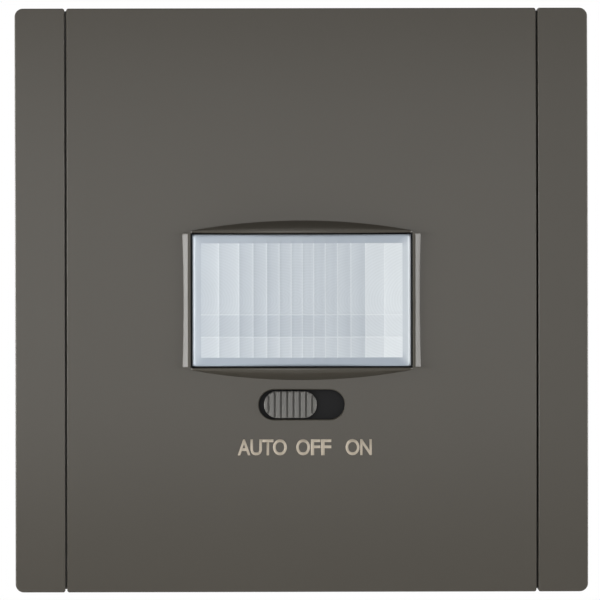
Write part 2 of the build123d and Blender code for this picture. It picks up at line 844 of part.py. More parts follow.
def terminal_places():
    """Sideways places of the terminals."""
    return [(i - (terminal_count - 1) / 2) * terminal_pitch for i in range(terminal_count)]


def insert_housing():
    """Cup behind the wall face that holds the power board, relay and terminals."""
    body = slab(flatted_disc(insert_radius, insert_half_width), 0, rim_depth)
    body += slab(flatted_disc(insert_radius, insert_half_width, insert_half_height), 0, insert_depth)
    body -= slab(flatted_disc(rim_inner_radius, cavity_half_width), -cut_overrun, rim_depth)
    body -= slab(flatted_disc(cavity_radius, cavity_half_width, cavity_half_height),
                 rim_depth - cut_overrun, insert_rear_y)
    for i in range(terminal_count + 1):
        x = (i - terminal_count / 2) * terminal_pitch
        rib = terminal_pitch - cage_width - 2 * cage_side_play
        body += box_between(x - rib / 2, x + rib / 2, cage_front_y, insert_rear_y,
                            -cavity_half_height, cage_top_z + cage_side_play)
    for x in terminal_places():
        body -= upright_pin(terminal_head_hole_radius, -insert_half_height - cut_overrun,
                            -cavity_half_height, x, cage_middle_y)
        body -= block(wire_mouth, wire_mouth, insert_rear_y - cut_overrun, insert_depth + cut_overrun,
                      x, wire_middle_z)
    for x, z in ring_screw_places():
        body -= round_pin(screw_radius + screw_fit, -cut_overrun, ring_screw_length, x, z)
    for x, z in lid_screw_places():
        body += round_pin(lid_screw_boss_radius, rim_depth, power_board_y - lid_screw_boss_gap, x, z)
        body -= round_pin(lid_screw_radius + screw_fit, rim_depth - cut_overrun,
                          lid_front_y + lid_screw_length, x, z)
    return body


def lid_screw_places():
    """Places of the two lid screws, half in the wall and half in their bosses."""
    return [(0, side * cavity_half_height) for side in (-1, 1)]


def lid_post_places():
    """Places of the posts under the lid that carry the power board."""
    return [(side * lid_post_x, z) for side in (-1, 1) for z in (lid_post_low_z, lid_post_high_z)]


def insert_lid():
    """Lid of the insert, with posts for the power board and an opening for the socket."""
    lid = slab(flatted_disc(rim_inner_radius - lid_clearance, cavity_half_width - lid_clearance),
               lid_front_y, rim_depth)
    for x, z in lid_post_places():
        lid += round_pin(lid_post_radius, rim_depth, power_board_y, x, z)
        lid -= round_pin(screw_radius + screw_fit, rim_depth, power_board_y + cut_overrun, x, z)
    lid -= block(pin_count * pin_pitch + 2 * lid_clearance, socket_strip_width + 2 * lid_clearance,
                 lid_front_y - cut_overrun, rim_depth + cut_overrun, 0, plug_z)
    for x, z in lid_screw_places():
        lid -= round_pin(lid_screw_radius + screw_clearance, lid_front_y - cut_overrun,
                         rim_depth + cut_overrun, x, z)
        lid -= round_pin(lid_screw_head_radius + screw_clearance, lid_front_y - cut_overrun,
                         lid_front_y + lid_thickness / 2, x, z)
    return lid


def lid_screws():
    """Two small screws sunk into the lid."""
    head = lid_thickness / 2
    return group([front_screw(lid_screw_head_radius, head, lid_screw_radius,
                              lid_screw_length - head, lid_front_y + head, x, z)
                  for x, z in lid_screw_places()])


def power_board():
    """Circuit board that carries the relay, the supply parts and the terminal tongues."""
    outline = flatted_disc(cavity_radius - power_board_gap, cavity_half_width - power_board_gap,
                           cavity_half_height - power_board_gap)
    board = slab(outline, power_board_y, power_board_back_y)
    for x, z in lid_post_places():
        board -= round_pin(screw_radius + screw_clearance, power_board_y - cut_overrun,
                           power_board_back_y + cut_overrun, x, z)
    return board


def power_board_screws():
    """Four screws that hold the power board on the lid's posts."""
    return group([screw(screw_head_radius, screw_head_height, screw_radius,
                        board_screw_length - screw_head_height, power_board_back_y, x, z)
                  for x, z in lid_post_places()])


def on_power_board(width, height, depth, x, z):
    """Box-shaped component standing on the back of the power board."""
    return block(width, height, power_board_back_y, power_board_back_y + depth, x, z)


def bulk_capacitor():
    """Round electrolytic capacitor with a crimped rim."""
    far_y = power_board_back_y + bulk_capacitor_depth
    can = round_pin(bulk_capacitor_radius, power_board_back_y, far_y, bulk_capacitor_x,
                    bulk_capacitor_z)
    return chamfer(can.edges().group_by(Axis.Y)[-1], bulk_capacitor_rim)


def choke():
    """Ring core of the choke."""
    far_y = power_board_back_y + choke_depth
    ring = round_pin(choke_radius, power_board_back_y, far_y, choke_x, choke_z)
    return ring - round_pin(choke_hole_radius, power_board_back_y - cut_overrun,
                            far_y + cut_overrun, choke_x, choke_z)


def fuse():
    """Round radial fuse."""
    return round_pin(fuse_radius, power_board_back_y, power_board_back_y + fuse_depth, fuse_x, fuse_z)


def varistor():
    """Disc-shaped varistor standing on its edge."""
    disc = Rot(0, 90, 0) * Cylinder(varistor_radius, varistor_thickness)
    return Pos(varistor_x, power_board_back_y + varistor_radius, varistor_z) * disc


def terminal_tongues():
    """Fixed tongues that the wires are clamped against."""
    return group([box_between(x - tongue_width / 2, x + tongue_width / 2, power_board_back_y,
                              insert_rear_y - tongue_rear_gap, tongue_bottom_z, tongue_top_z)
                  for x in terminal_places()])


def lift_cage(x):
    """Cage that climbs along its screw and clamps the wire against the tongue."""
    half = cage_width / 2
    cage = box_between(x - half, x + half, cage_front_y, cage_back_y, cage_foot_z, cage_top_z)
    cage -= box_between(x - half + cage_wall, x + half - cage_wall, cage_front_y - cut_overrun,
                        cage_back_y + cut_overrun, cage_foot_z + cage_foot_wall,
                        cage_top_z - cage_top_wall)
    return cage - upright_pin(terminal_screw_radius + terminal_screw_fit, cage_foot_z - cut_overrun,
                              cage_foot_z + cage_foot_wall + cut_overrun, x, cage_middle_y)


def terminal_screw(x):
    """Screw whose tip bears on the tongue."""
    body = upright_pin(terminal_head_radius, terminal_head_z, terminal_shank_z, x, cage_middle_y)
    body += upright_pin(terminal_screw_radius, terminal_shank_z, tongue_bottom_z - terminal_tip_gap,
                        x, cage_middle_y)
    cut = box_between(x - terminal_head_radius, x + terminal_head_radius,
                      cage_middle_y - slot_cut_width / 2, cage_middle_y + slot_cut_width / 2,
                      terminal_head_z - cut_overrun, terminal_head_z + slot_cut_depth)
    return body - cut


def claw_screw(side):
    """Long screw that draws the claw nut forward."""
    return front_screw(claw_head_radius, claw_head_height, claw_screw_radius, claw_screw_length,
                       -ring_thickness, side * claw_screw_x, side * claw_screw_z)


def claw_nut(side):
    """Square nut with two trunnions that the claw swings on."""
    x = side * claw_screw_x
    z = side * claw_screw_z
    reach = claw_nut_size / 2 + claw_cheek_gap + claw_sheet
    nut = block(claw_nut_size, claw_nut_size, claw_nut_y - claw_nut_thickness / 2,
                claw_nut_y + claw_nut_thickness / 2, x, z)
    nut += upright_pin(claw_pin_radius, z - reach, z + reach, x, claw_nut_y)
    return nut - round_pin(claw_screw_radius + claw_pin_fit, 0, 2 * claw_nut_y, x, z)


def claw(side):
    """Sheet-steel claw: two cheeks on the nut's trunnions and a toothed web on the outside."""
    x = side * claw_screw_x
    z = side * claw_screw_z
    web_inner = claw_nut_size / 2 + claw_web_gap
    web_outer = web_inner + claw_sheet
    eye = claw_pin_radius + claw_sheet
    cheek_low = claw_nut_size / 2 + claw_cheek_gap
    cheek_high = cheek_low + claw_sheet
    outline = make_face(Polyline(
        (side * -eye, eye), (side * web_outer, claw_rear_reach),
        (side * web_outer, -claw_front_reach), (side * (web_outer - claw_arm_width), -claw_front_reach),
        (side * (web_outer - claw_arm_width), -2 * eye), (side * -eye, -eye), (side * -eye, eye)))
    sheet = extrude(outline, amount=claw_sheet)
    cheeks = [Pos(x, claw_nut_y, z + cheek_low) * sheet, Pos(x, claw_nut_y, z - cheek_high) * sheet]
    ends = sorted((x + side * web_inner, x + side * web_outer))
    body = cheeks[0] + cheeks[1]
    body += box_between(ends[0], ends[1], claw_nut_y - claw_front_reach, claw_nut_y + claw_rear_reach,
                        z - cheek_high, z + cheek_high)
    pitch = 2 * cheek_high / claw_tooth_count
    for i in range(claw_tooth_count - 1):
        notch_z = z - cheek_high + (i + 1) * pitch
        wedge = Rot(45, 0, 0) * Box(2 * claw_arm_width, claw_tooth_depth * math.sqrt(2),
                                    claw_tooth_depth * math.sqrt(2))
        body -= Pos(x + side * web_outer, claw_nut_y - claw_front_reach, notch_z) * wedge
    return body - upright_pin(claw_pin_radius + claw_pin_fit, z - cheek_high - cut_overrun,
                              z + cheek_high + cut_overrun, x, claw_nut_y)


def chip(width, length, height, x, z):
    """Flat component on the front of the sensor board."""
    return block(width, length, board_front_y - height, board_front_y, x, z)


def all_nodes():
    """Every sub-part under its node's name."""
    nodes = {
        "front_cover": front_cover(),
        "design_frame": design_frame(),
        "lens": lens(),
        "lens_holder": lens_holder(),
        "slider_knob": slider_knob(),
        "slide_switch_shell": slide_switch_shell(),
        "slide_switch_lever": slide_switch_lever(),
        "module_housing": module_housing(),
        "module_screws": module_screws(),
        "sensor_board": sensor_board(),
        "board_screws": board_screws(),
        "infrared_sensor_can": infrared_sensor_can(),
        "infrared_filter": infrared_filter(),
        "light_sensor": domed_lamp(lamp_x, lamp_z),
        "status_light": domed_lamp(-lamp_x, lamp_z),
        "controller_chip": chip(chip_width, chip_length, chip_height, chip_x, chip_z),
        "amplifier_chip": chip(amplifier_width, amplifier_length, amplifier_height, amplifier_x,
                               amplifier_z),
        "small_capacitor": small_capacitor(),
        "resistors": resistors(),
        "dial_bodies": dial_bodies(),
        "plug_strip": plug_strip(),
        "plug_pins": plug_pins(),
        "socket_strip": socket_strip(),
        "socket_contacts": socket_contacts(),
        "support_ring": support_ring(),
        "ring_screws": ring_screws(),
        "insert_housing": insert_housing(),
        "insert_lid": insert_lid(),
        "lid_screws": lid_screws(),
        "power_board": power_board(),
        "power_board_screws": power_board_screws(),
        "relay": on_power_board(relay_width, relay_height, relay_depth, 0, relay_z),
        "film_capacitor": on_power_board(film_capacitor_width, film_capacitor_height,
                                         film_capacitor_depth, film_capacitor_x, film_capacitor_z),
        "rectifier": on_power_board(rectifier_width, rectifier_height, rectifier_depth, rectifier_x,
                                    rectifier_z),
        "bulk_capacitor": bulk_capacitor(),
        "choke": choke(),
        "fuse": fuse(),
        "varistor": varistor(),
        "terminal_tongues": terminal_tongues(),
    }
    for name, place in zip(("time_dial", "brightness_dial", "range_dial"), dial_places()):
        nodes[name] = dial(*place)
    for i, x in enumerate(terminal_places(), 1):
        nodes[f"lift_cage_{i}"] = lift_cage(x)
        nodes[f"terminal_screw_{i}"] = terminal_screw(x)
    for side, word in claw_sides():
        nodes[f"claw_screw_{word}"] = claw_screw(side)
        nodes[f"claw_nut_{word}"] = claw_nut(side)
        nodes[f"claw_{word}"] = claw(side)
    return nodes


os.makedirs("parts", exist_ok=True)
for name, shape in all_nodes().items():
    export_step(shape, f"parts/{name}.step")
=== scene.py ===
import json
import math
import random

import bmesh
import bpy
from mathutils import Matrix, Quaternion, Vector


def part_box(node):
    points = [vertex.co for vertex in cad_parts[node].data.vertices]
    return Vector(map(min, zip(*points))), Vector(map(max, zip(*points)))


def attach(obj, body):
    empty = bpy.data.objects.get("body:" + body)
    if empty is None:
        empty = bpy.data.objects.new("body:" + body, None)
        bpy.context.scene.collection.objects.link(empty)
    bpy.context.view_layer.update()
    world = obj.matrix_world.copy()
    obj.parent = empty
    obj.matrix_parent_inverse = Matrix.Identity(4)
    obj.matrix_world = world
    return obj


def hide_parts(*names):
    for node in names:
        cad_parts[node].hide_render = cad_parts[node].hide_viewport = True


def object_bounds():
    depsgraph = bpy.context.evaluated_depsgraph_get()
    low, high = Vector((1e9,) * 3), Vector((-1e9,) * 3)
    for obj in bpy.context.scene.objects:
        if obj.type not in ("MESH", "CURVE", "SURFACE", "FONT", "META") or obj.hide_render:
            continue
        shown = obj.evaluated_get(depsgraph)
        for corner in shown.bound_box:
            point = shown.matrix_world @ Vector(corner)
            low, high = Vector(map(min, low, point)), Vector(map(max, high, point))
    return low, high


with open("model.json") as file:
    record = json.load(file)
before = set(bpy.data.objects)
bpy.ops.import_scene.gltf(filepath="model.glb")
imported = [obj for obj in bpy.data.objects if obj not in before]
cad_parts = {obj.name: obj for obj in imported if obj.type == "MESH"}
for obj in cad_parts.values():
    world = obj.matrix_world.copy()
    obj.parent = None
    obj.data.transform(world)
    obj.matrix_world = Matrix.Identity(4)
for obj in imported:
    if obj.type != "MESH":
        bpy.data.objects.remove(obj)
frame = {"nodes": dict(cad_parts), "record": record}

cad_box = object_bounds()

MM = 0.001

# Sizes taken from the frame
_, cover_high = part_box("front_cover")
frame_low, frame_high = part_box("design_frame")
lens_low, lens_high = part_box("lens")
holder_low, holder_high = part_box("lens_holder")
slider_low, slider_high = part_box("slider_knob")
_, ring_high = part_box("support_ring")
_, screws_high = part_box("module_screws")

# Making of the meshes, with angles in degrees
OVERRUN = 1.0 * MM
MERGE_DISTANCE = 0.002 * MM
SLIVER_LENGTH = 0.001 * MM
SAME_PLACE = 0.001 * MM
CORNER_STEPS = 10
ROUND_END_STEPS = 20
DISC_STEPS = 40
BREAK_ANGLE = 28
SMOOTH_ANGLE = 40
LENS_SMOOTH_ANGLE = 50
FACE_WEIGHT = 100

# Face plate and side bars
HALF_TALL = cover_high.z
COVER_TRIM = 0.035 * MM
COVER_HALF = cover_high.x + COVER_TRIM
FACE_Y = frame_low.y
CROWN_RISE = 3.2 * MM
CROWN_RADIUS = (HALF_TALL ** 2 + CROWN_RISE ** 2) / (2 * CROWN_RISE)
CROWN_CENTRE = CROWN_RADIUS + FACE_Y
CROWN_STRIPS = 176
STRIP_CLEARANCE = 0.24 * MM
GROOVE = 0.27 * MM
BAR_INNER = COVER_HALF + GROOVE
OUTER_CORNER = 1.25 * MM
INNER_CORNER = 0.35 * MM
EDGE_BREAK = 0.13 * MM
BAR_WALL = 1.4 * MM
BAR_LEAN_DEGREES = 2.0
BASE_SETBACK = 0.37 * MM
BASE_THICKNESS = 2.6 * MM
POCKET_CLEARANCE = 0.4 * MM
POCKET_DEPTH = 1.2 * MM
WEB_WIDTH = 2.2 * MM
POCKET_CORNER = 4.0 * MM
COVER_WALL = 1.8 * MM
COVER_SIDE_WALL = 1.5 * MM
BOSS_RADIUS = 2.6 * MM
BOSS_BACK_Y = -7.2 * MM
SCREW_HEAD_RADIUS = 2.0 * MM

# Window, lips and lens
LENS_GAP = 0.22 * MM
LENS_TRIM = 0.06 * MM
LENS_HALF_WIDTH = lens_high.x + LENS_TRIM
WINDOW_HALF_WIDTH = LENS_HALF_WIDTH + LENS_GAP
WINDOW_HALF_TALL = lens_high.z + LENS_GAP
WINDOW_CORNER = 0.22 * MM
CHEEK_LEDGE = 0.43 * MM
CHEEK_PROUD = 0.65 * MM
CHEEK_SINK = 0.4 * MM
CHEEK_DRAFT = 0.12
CHEEK_ROOT = 0.4 * MM
SEAT_MARGIN = 0.6 * MM
LIP_RADIUS = 47.0 * MM
LIP_PROUD = 3.0 * MM
LIP_EDGE = 0.32 * MM
LIP_FLARE = 0.5
LIP_CONVEX = 2.0
LIP_CONCAVE = 1.25
LIP_DIP = 0.05 * MM
LIP_LEAST = 0.02 * MM
LIP_SINK = 0.7 * MM
LIP_COLUMNS = 96
LIP_PROFILE_STEPS = 20
COVER_FRONT = FACE_Y - LIP_PROUD - OVERRUN
LENS_END_PROUD = 0.64 * MM
LENS_BELLY = FACE_Y - LENS_END_PROUD - lens_low.y
LENS_RADIUS = (lens_high.x ** 2 + LENS_BELLY ** 2) / (2 * LENS_BELLY)
LENS_WALL = 0.7 * MM
LENS_BORDER = 1.3 * MM
LENS_ROUNDING = 0.68 * MM
LENS_ROUNDING_TALL = 0.4 * MM
LENS_EDGE_RADIUS = 0.82 * MM
LENS_ROUNDING_STEPS = 8
LENS_GRID = 0.5 * MM
SEAM_HALF_WIDTH = 0.09 * MM
SEAM_RAISE = 0.03 * MM

# Tints of the lens fields, from 0 for the darkest to 1 for the palest; the end columns, the rise to the
# right and the border carry painted light and shade
TINT_SEED = 14
MIDDLE_TINT = 0.39
# Painted light: the fields are painted paler towards the right end of the sheet
SIDE_PAINTED_LIGHT = 0.08
# Painted light: the two end columns on each side are painted paler, the right ones most
END_COLUMN_TINTS_WITH_PAINTED_LIGHT = {0: 0.51, 1: 0.45, 12: 0.76, 13: 0.94}
ROW_TINTS = (0.0, -0.08, 0.05)
TINT_PLAY = 0.03
SEAM_TINT = 0.22
FIELD_SLOPE = 0.1
FIELD_SLOPE_REACH = 5.0 * MM
PLAIN_END_COLUMNS = 2
RING_CENTRE_SHARE = 1.25
# Painted shade and light on the lens border: darker above and below, paler at the two ends, palest at the
# right
BORDER_PAINTED_SHADE_AND_LIGHT = {"above": 0.07, "below": 0.0, "left": 0.23, "right": 0.55}
BORDER_BLEND = 1.6 * MM

# Places in the photograph, in pixels
PHOTO_SIZE = 600
PIXEL = 0.1504 * MM
MIDDLE_PX_X = 301.8
MIDDLE_PX_Y = 300.0
COLUMN_PX = (218.9, 239.1, 253.2, 266.8, 279.3, 291.25, 302.3, 313.6, 325.2, 337.3, 350.7, 365.4, 384.5)
ROW_PX = (314.3, 336.6)
WORDS_PX = {
    "AUTO": ((237.6, 250.4), (250.4, 261.8), (262.2, 273.3), (273.0, 286.7)),
    "OFF": ((296.2, 309.9), (310.8, 320.3), (321.1, 331.2)),
    "ON": ((345.6, 359.4), (360.2, 371.7)),
}
WORD_TOP_PX = 439.1
WORD_FOOT_PX = 455.1
LETTER_BOLD = 0.020
LETTER_CURVE_STEPS = 8
INK_RAISE = 0.012 * MM
INK_THICKNESS = 0.03 * MM

# Mode slider
SLOT_WIDTH = 12.9 * MM
SLOT_TALL = 4.5 * MM
SLOT_Z = (slider_low.z + slider_high.z) / 2
THUMB_WIDTH = 7.95 * MM
THUMB_TALL = 4.0 * MM
THUMB_END_PLAY = 0.76 * MM
THUMB_REST_X = -(SLOT_WIDTH / 2 - THUMB_END_PLAY - THUMB_WIDTH / 2)
THUMB_COLUMNS = 240
THUMB_TIP_HALF = 0.01 * MM
RIB_COUNT = 8
RIB_PITCH = 0.94 * MM
RIB_DEPTH = 0.32 * MM
RIB_GROOVE_HALF = 0.26 * MM
THUMB_EDGE = 0.22 * MM
THUMB_EDGE_STEPS = 4
THUMB_EDGE_SHARE = 0.6
CARRIER_THICKNESS = 0.8 * MM
FORK_LENGTH = 1.6 * MM
FORK_GAP = 0.95 * MM
FORK_HALF_TALL = 0.7 * MM
FORK_CORNER = 0.1 * MM
FORK_CORNER_STEPS = 3

# Camera, with its angles in degrees
CAMERA_DISTANCE = 3.0
CAMERA_ELEVATION = 0.6
CAMERA_AZIMUTH = -0.7
CAMERA_ROLL = 0.11
CAMERA_NEAR = 0.1
CAMERA_FAR = 20.0
FRAME_SPAN = PHOTO_SIZE * PIXEL
SENSOR = 36.0
AIM_X = -0.25 * MM
AIM_Z = 0.045 * MM

# Lamps, each with its place, width, height and power in watts, and all aimed at the middle of the device
LAMP_AIM = (0, 0, 0)
SOFTBOXES = {
    "left_softbox": ((-0.693, -0.092, 0.0), 0.55, 0.17, 6.6),
    "right_softbox": ((1.386, -0.184, 0.0), 1.1, 0.34, 19.8),
    "front_softbox": ((-0.25, -3.2, 0.1), 1.3, 1.6, 23.5),
    "top_softbox": ((0.0, -0.5, 0.9), 0.8, 0.4, 0.7),
    "rear_softbox": ((0.0, 2.2, 1.1), 2.4, 2.4, 14.0),
}
WHITE = (1.0, 1.0, 1.0, 1.0)
FILL_COLOR = (0.96, 0.98, 1.0, 1.0)
FILL_STRENGTH = 0.12
SURROUND_STRENGTH = 1.0
SURROUND_WHITE_SHARE = 1.0

# Floor
FLOOR_DROP = 0.3
FLOOR_REACH = 0.6
FLOOR_BACK = 0.2
FLOOR_COLOR = (0.86, 0.86, 0.85)
FLOOR_SPREAD = 0.01
FLOOR_BLOTCH = 0.25
FLOOR_ROUGH = 0.7
FLOOR_WHITE_SHARE = 0.7


def px_x(px):
    """Sideways place of a pixel column on the face."""
    return (px - MIDDLE_PX_X) * PIXEL


def px_z(px):
    """Height of a pixel row on the face."""
    return (MIDDLE_PX_Y - px) * PIXEL


def crown_y(z, inset=0.0):
    """Depth of the crowned face at height z."""
    return CROWN_CENTRE - math.sqrt((CROWN_RADIUS - inset) ** 2 - z * z)


def make_object(name, bm):
    """Puts a bmesh into a new linked object."""
    bmesh.ops.recalc_face_normals(bm, faces=bm.faces)
    mesh = bpy.data.meshes.new(name)
    bm.to_mesh(mesh)
    bm.free()
    piece = bpy.data.objects.new(name, mesh)
    bpy.context.scene.collection.objects.link(piece)
    return piece


def skin(bm, rings):
    """Joins closed rings of points by faces, and closes both ends."""
    for a, b in zip(rings, rings[1:]):
        for i in range(len(a)):
            j = (i + 1) % len(a)
            bm.faces.new((a[i], a[j], b[j], b[i]))
    bm.faces.new(rings[0])
    bm.faces.new(rings[-1])


def prism(name, outline, axis, low, high):
    """Closed prism of an outline along x or y. The outline holds the other two coordinates in order."""
    bm = bmesh.new()
    rings = []
    for level in (low, high):
        places = [(level, a, b) if axis == "x" else (a, level, b) for a, b in outline]
        rings.append([bm.verts.new(place) for place in places])
    skin(bm, rings)
    return make_object(name, bm)


def rounded_outline(x_low, x_high, z_low, z_high, radii, steps=CORNER_STEPS):
    """Rectangle whose corners, counted from low x and low z round to low x and high z, are rounded."""
    corners = ((x_low, z_low, 1, 1, 180), (x_high, z_low, -1, 1, 270), (x_high, z_high, -1, -1, 0),
               (x_low, z_high, 1, -1, 90))
    points = []
    for (x, z, side_x, side_z, start), radius in zip(corners, radii):
        for i in range(steps + 1):
            angle = math.radians(start + 90 * i / steps)
            points.append((x + side_x * radius + radius * math.cos(angle),
                           z + side_z * radius + radius * math.sin(angle)))
    return points


def middle_outline(half_x, half_z, radius):
    """Outline round the middle of the device, with four like corners."""
    return rounded_outline(-half_x, half_x, -half_z, half_z, (radius,) * 4)


def stadium(x, z, width, tall):
    """Outline with two round ends."""
    return rounded_outline(x - width / 2, x + width / 2, z - tall / 2, z + tall / 2, (tall / 2,) * 4,
                           ROUND_END_STEPS)


def crown_heights(half_tall):
    """Even heights up the crown, without those that lie close beside an edge of the window or the slot."""
    crossed = (WINDOW_HALF_TALL, -WINDOW_HALF_TALL, SLOT_Z + SLOT_TALL / 2, SLOT_Z - SLOT_TALL / 2)
    heights = [half_tall * (2 * i / CROWN_STRIPS - 1) for i in range(CROWN_STRIPS + 1)]
    return [z for z in heights if all(abs(z - edge) > STRIP_CLEARANCE for edge in crossed)]


def crowned_block(name, x_low, x_high, half_tall, y_back, inset=0.0):
    """Block whose front follows the crown of the face."""
    heights = crown_heights(half_tall)
    outline = [(crown_y(z, inset), z) for z in heights]
    outline += [(y_back, half_tall), (y_back, -half_tall)]
    return prism(name, outline, "x", x_low, x_high)


def disc_prism(name, radius, y_low, y_high, x, z):
    """Round boss along the depth."""
    turn = [2 * math.pi * i / DISC_STEPS for i in range(DISC_STEPS)]
    outline = [(x + radius * math.cos(a), z + radius * math.sin(a)) for a in turn]
    return prism(name, outline, "y", y_low, y_high)


def settle(piece):
    """Applies the piece's modifiers to its mesh."""
    graph = bpy.context.evaluated_depsgraph_get()
    mesh = bpy.data.meshes.new_from_object(piece.evaluated_get(graph))
    piece.modifiers.clear()
    piece.data = mesh


def combine(piece, *steps):
    """Joins, cuts or trims the piece by each tool in turn, and removes the tools."""
    for operation, tool in steps:
        modifier = piece.modifiers.new(operation.lower(), "BOOLEAN")
        modifier.operation = operation
        modifier.object = tool
        modifier.solver = "EXACT"
        settle(piece)
        bpy.data.objects.remove(tool, do_unlink=True)
    bm = bmesh.new()
    bm.from_mesh(piece.data)
    bmesh.ops.remove_doubles(bm, verts=bm.verts, dist=MERGE_DISTANCE)
    bmesh.ops.dissolve_degenerate(bm, edges=bm.edges, dist=SLIVER_LENGTH)
    bm.to_mesh(piece.data)
    bm.free()
    return piece


def break_edges(piece, behind):
    """Breaks the outward edges of a piece that lie in front of a given depth, with a narrow chamfer."""
    bm = bmesh.new()
    bm.from_mesh(piece.data)
    bm.normal_update()
    chosen = []
    for edge in bm.edges:
        if len(edge.link_faces) == 2 and max(v.co.y for v in edge.verts) < behind:
            if edge.calc_face_angle_signed() > math.radians(BREAK_ANGLE):
                chosen.append(edge)
    bmesh.ops.bevel(bm, geom=chosen, offset=EDGE_BREAK, segments=1, affect="EDGES", clamp_overlap=False)
    bm.to_mesh(piece.data)
    bm.free()


def smooth(piece, angle=SMOOTH_ANGLE):
    """Shades a piece smoothly across all edges that are not sharp."""
    piece.data.shade_smooth()
    piece.data.set_sharp_from_angle(angle=math.radians(angle))
    even = piece.modifiers.new("even", "WEIGHTED_NORMAL")
    even.weight = FACE_WEIGHT
    even.keep_sharp = True
    settle(piece)


# Materials

# Grains, each with its size, its height and its detail
MOULDED = ((0.35 * MM, 0.004 * MM, 3.0), (2.5 * MM, 0.006 * MM, 2.0))
LACQUERED = ((0.22 * MM, 0.0012 * MM, 2.0), (1.4 * MM, 0.0022 * MM, 2.0))
ROLLED = ((0.18 * MM, 0.003 * MM, 4.0), (1.8 * MM, 0.004 * MM, 3.0))

# Wander of colour and roughness
COLOUR_DETAIL = 4.0
ROUGH_DETAIL = 3.0
ROUGH_SHARES = (0.96, 1.06)

# Zinc
SPANGLE_SIZE = 1.1 * MM
SPANGLE_SHARES = (0.9, 1.06)
PASSIVATION_SHARES = (1.0, 1.02, 1.06)
ZINC_BLOTCH = 0.9 * MM
ZINC_ROUGH_PLAY = (-0.06, 0.1)

# Circuit board
TRACK_LENGTH = 4.2 * MM
TRACK_PITCH = 1.9 * MM
TRACK_GAP = 0.35 * MM
TRACK_SOFTNESS = 0.1
TRACK_BUMP = 0.03 * MM
TRACK_BUMP_STRENGTH = 0.5
TRACK_SHARES = (0.8, 1.9)
PAD_PITCH = 2.6 * MM
PAD_RADIUS_SHARE = 0.2
PAD_SCATTER = 0.55
PAD_COLOR = (0.66, 0.62, 0.5, 1.0)
MASK_BLOTCH = 3 * MM
MASK_ROUGH = (0.28, 0.4)

# Milky sheet of the lens
LENS_DARK = (0.42, 0.465, 0.525, 1.0)
LENS_PALE = (0.90, 0.93, 0.95, 1.0)
LENS_WASH = (0.93, 0.95, 0.96)
LENS_WASH_SPREAD = 0.035
LENS_WASH_BLOTCH = 4 * MM
LENS_ROUGH = (0.34, 0.42)
LENS_ROUGH_BLOTCH = 3 * MM
LENS_SPECULAR = 0.4
RING_PITCH = 0.42 * MM
RING_SHARES = (0.985, 1.03)
RING_BUMP = 0.006 * MM
RING_BUMP_STRENGTH = 0.35


def node_tree(name):
    """New material with only a shader and an output, and a helper to add nodes to it."""
    material = bpy.data.materials.new(name)
    material.use_nodes = True
    tree = material.node_tree
    shader = tree.nodes["Principled BSDF"]

    def add(kind, inputs=None, **settings):
        node = tree.nodes.new("ShaderNode" + kind)
        for key, value in settings.items():
            setattr(node, key, value)
        for key, value in (inputs or {}).items():
            if isinstance(value, bpy.types.NodeSocket):
                tree.links.new(value, node.inputs[key])
            else:
                node.inputs[key].default_value = value
        return node
    return material, tree, shader, add


def shifted(color, factor):
    """A colour made lighter or darker."""
    return tuple(min(1.0, c * factor) for c in color[:3]) + (1.0,)


def colour_noise(add, vector, scale, color, spread):
    """Colour that wanders a little round its middle value."""
    noise = add("TexNoise", {"Vector": vector, "Scale": scale, "Detail": COLOUR_DETAIL})
    mix = add("Mix", {"Factor": noise.outputs["Fac"]}, data_type="RGBA")
    mix.inputs["A"].default_value = shifted(color, 1 - spread)
    mix.inputs["B"].default_value = shifted(color, 1 + spread)
    return mix.outputs["Result"]


def rough_noise(add, vector, scale, low, high):
    """Roughness that wanders between two values."""
    noise = add("TexNoise", {"Vector": vector, "Scale": scale, "Detail": ROUGH_DETAIL})
    spread = add("MapRange", {"Value": noise.outputs["Fac"], "To Min": low, "To Max": high})
    return spread.outputs["Result"]


def grain_bump(add, vector, grains):
    """Bump from several noise grains, each given as its size, its height and its detail."""
    normal = None
    for size, height, detail in grains:
        noise = add("TexNoise", {"Vector": vector, "Scale": 1 / size, "Detail": detail})
        bump = add("Bump", {"Height": noise.outputs["Fac"], "Strength": 1.0, "Distance": height})
        if normal is not None:
            bump.id_data.links.new(normal, bump.inputs["Normal"])
        normal = bump.outputs["Normal"]
    return normal


def surface(name, color, rough, metallic=0.0, specular=0.5, spread=0.05, blotch=6 * MM, grains=(),
            **sockets):
    """General finish: wandering colour and roughness with a fine grain."""
    material, tree, shader, add = node_tree(name)
    place = add("TexCoord").outputs["Object"]
    tree.links.new(colour_noise(add, place, 1 / blotch, color, spread), shader.inputs["Base Color"])
    low, high = (rough * share for share in ROUGH_SHARES)
    tree.links.new(rough_noise(add, place, 2 / blotch, low, high), shader.inputs["Roughness"])
    if grains:
        tree.links.new(grain_bump(add, place, grains), shader.inputs["Normal"])
    shader.inputs["Metallic"].default_value = metallic
    shader.inputs["Specular IOR Level"].default_value = specular
    for key, value in sockets.items():
        shader.inputs[key.replace("_", " ")].default_value = value
    return material


def zinc(name, color, rough):
    """Zinc-plated steel with soft spangle and a faint blue passivation."""
    material, tree, shader, add = node_tree(name)
    place = add("TexCoord").outputs["Object"]
    spangle = add("TexVoronoi", {"Vector": place, "Scale": 1 / SPANGLE_SIZE})
    passivated = [c * share for c, share in zip(color, PASSIVATION_SHARES)]
    tone = add("Mix", {"Factor": spangle.outputs["Color"]}, data_type="RGBA")
    tone.inputs["A"].default_value = shifted(color, SPANGLE_SHARES[0])
    tone.inputs["B"].default_value = shifted(passivated, SPANGLE_SHARES[1])
    tree.links.new(tone.outputs["Result"], shader.inputs["Base Color"])
    low, high = (rough + play for play in ZINC_ROUGH_PLAY)
    tree.links.new(rough_noise(add, place, 1 / ZINC_BLOTCH, low, high), shader.inputs["Roughness"])
    tree.links.new(grain_bump(add, place, ROLLED), shader.inputs["Normal"])
    shader.inputs["Metallic"].default_value = 1.0
    return material


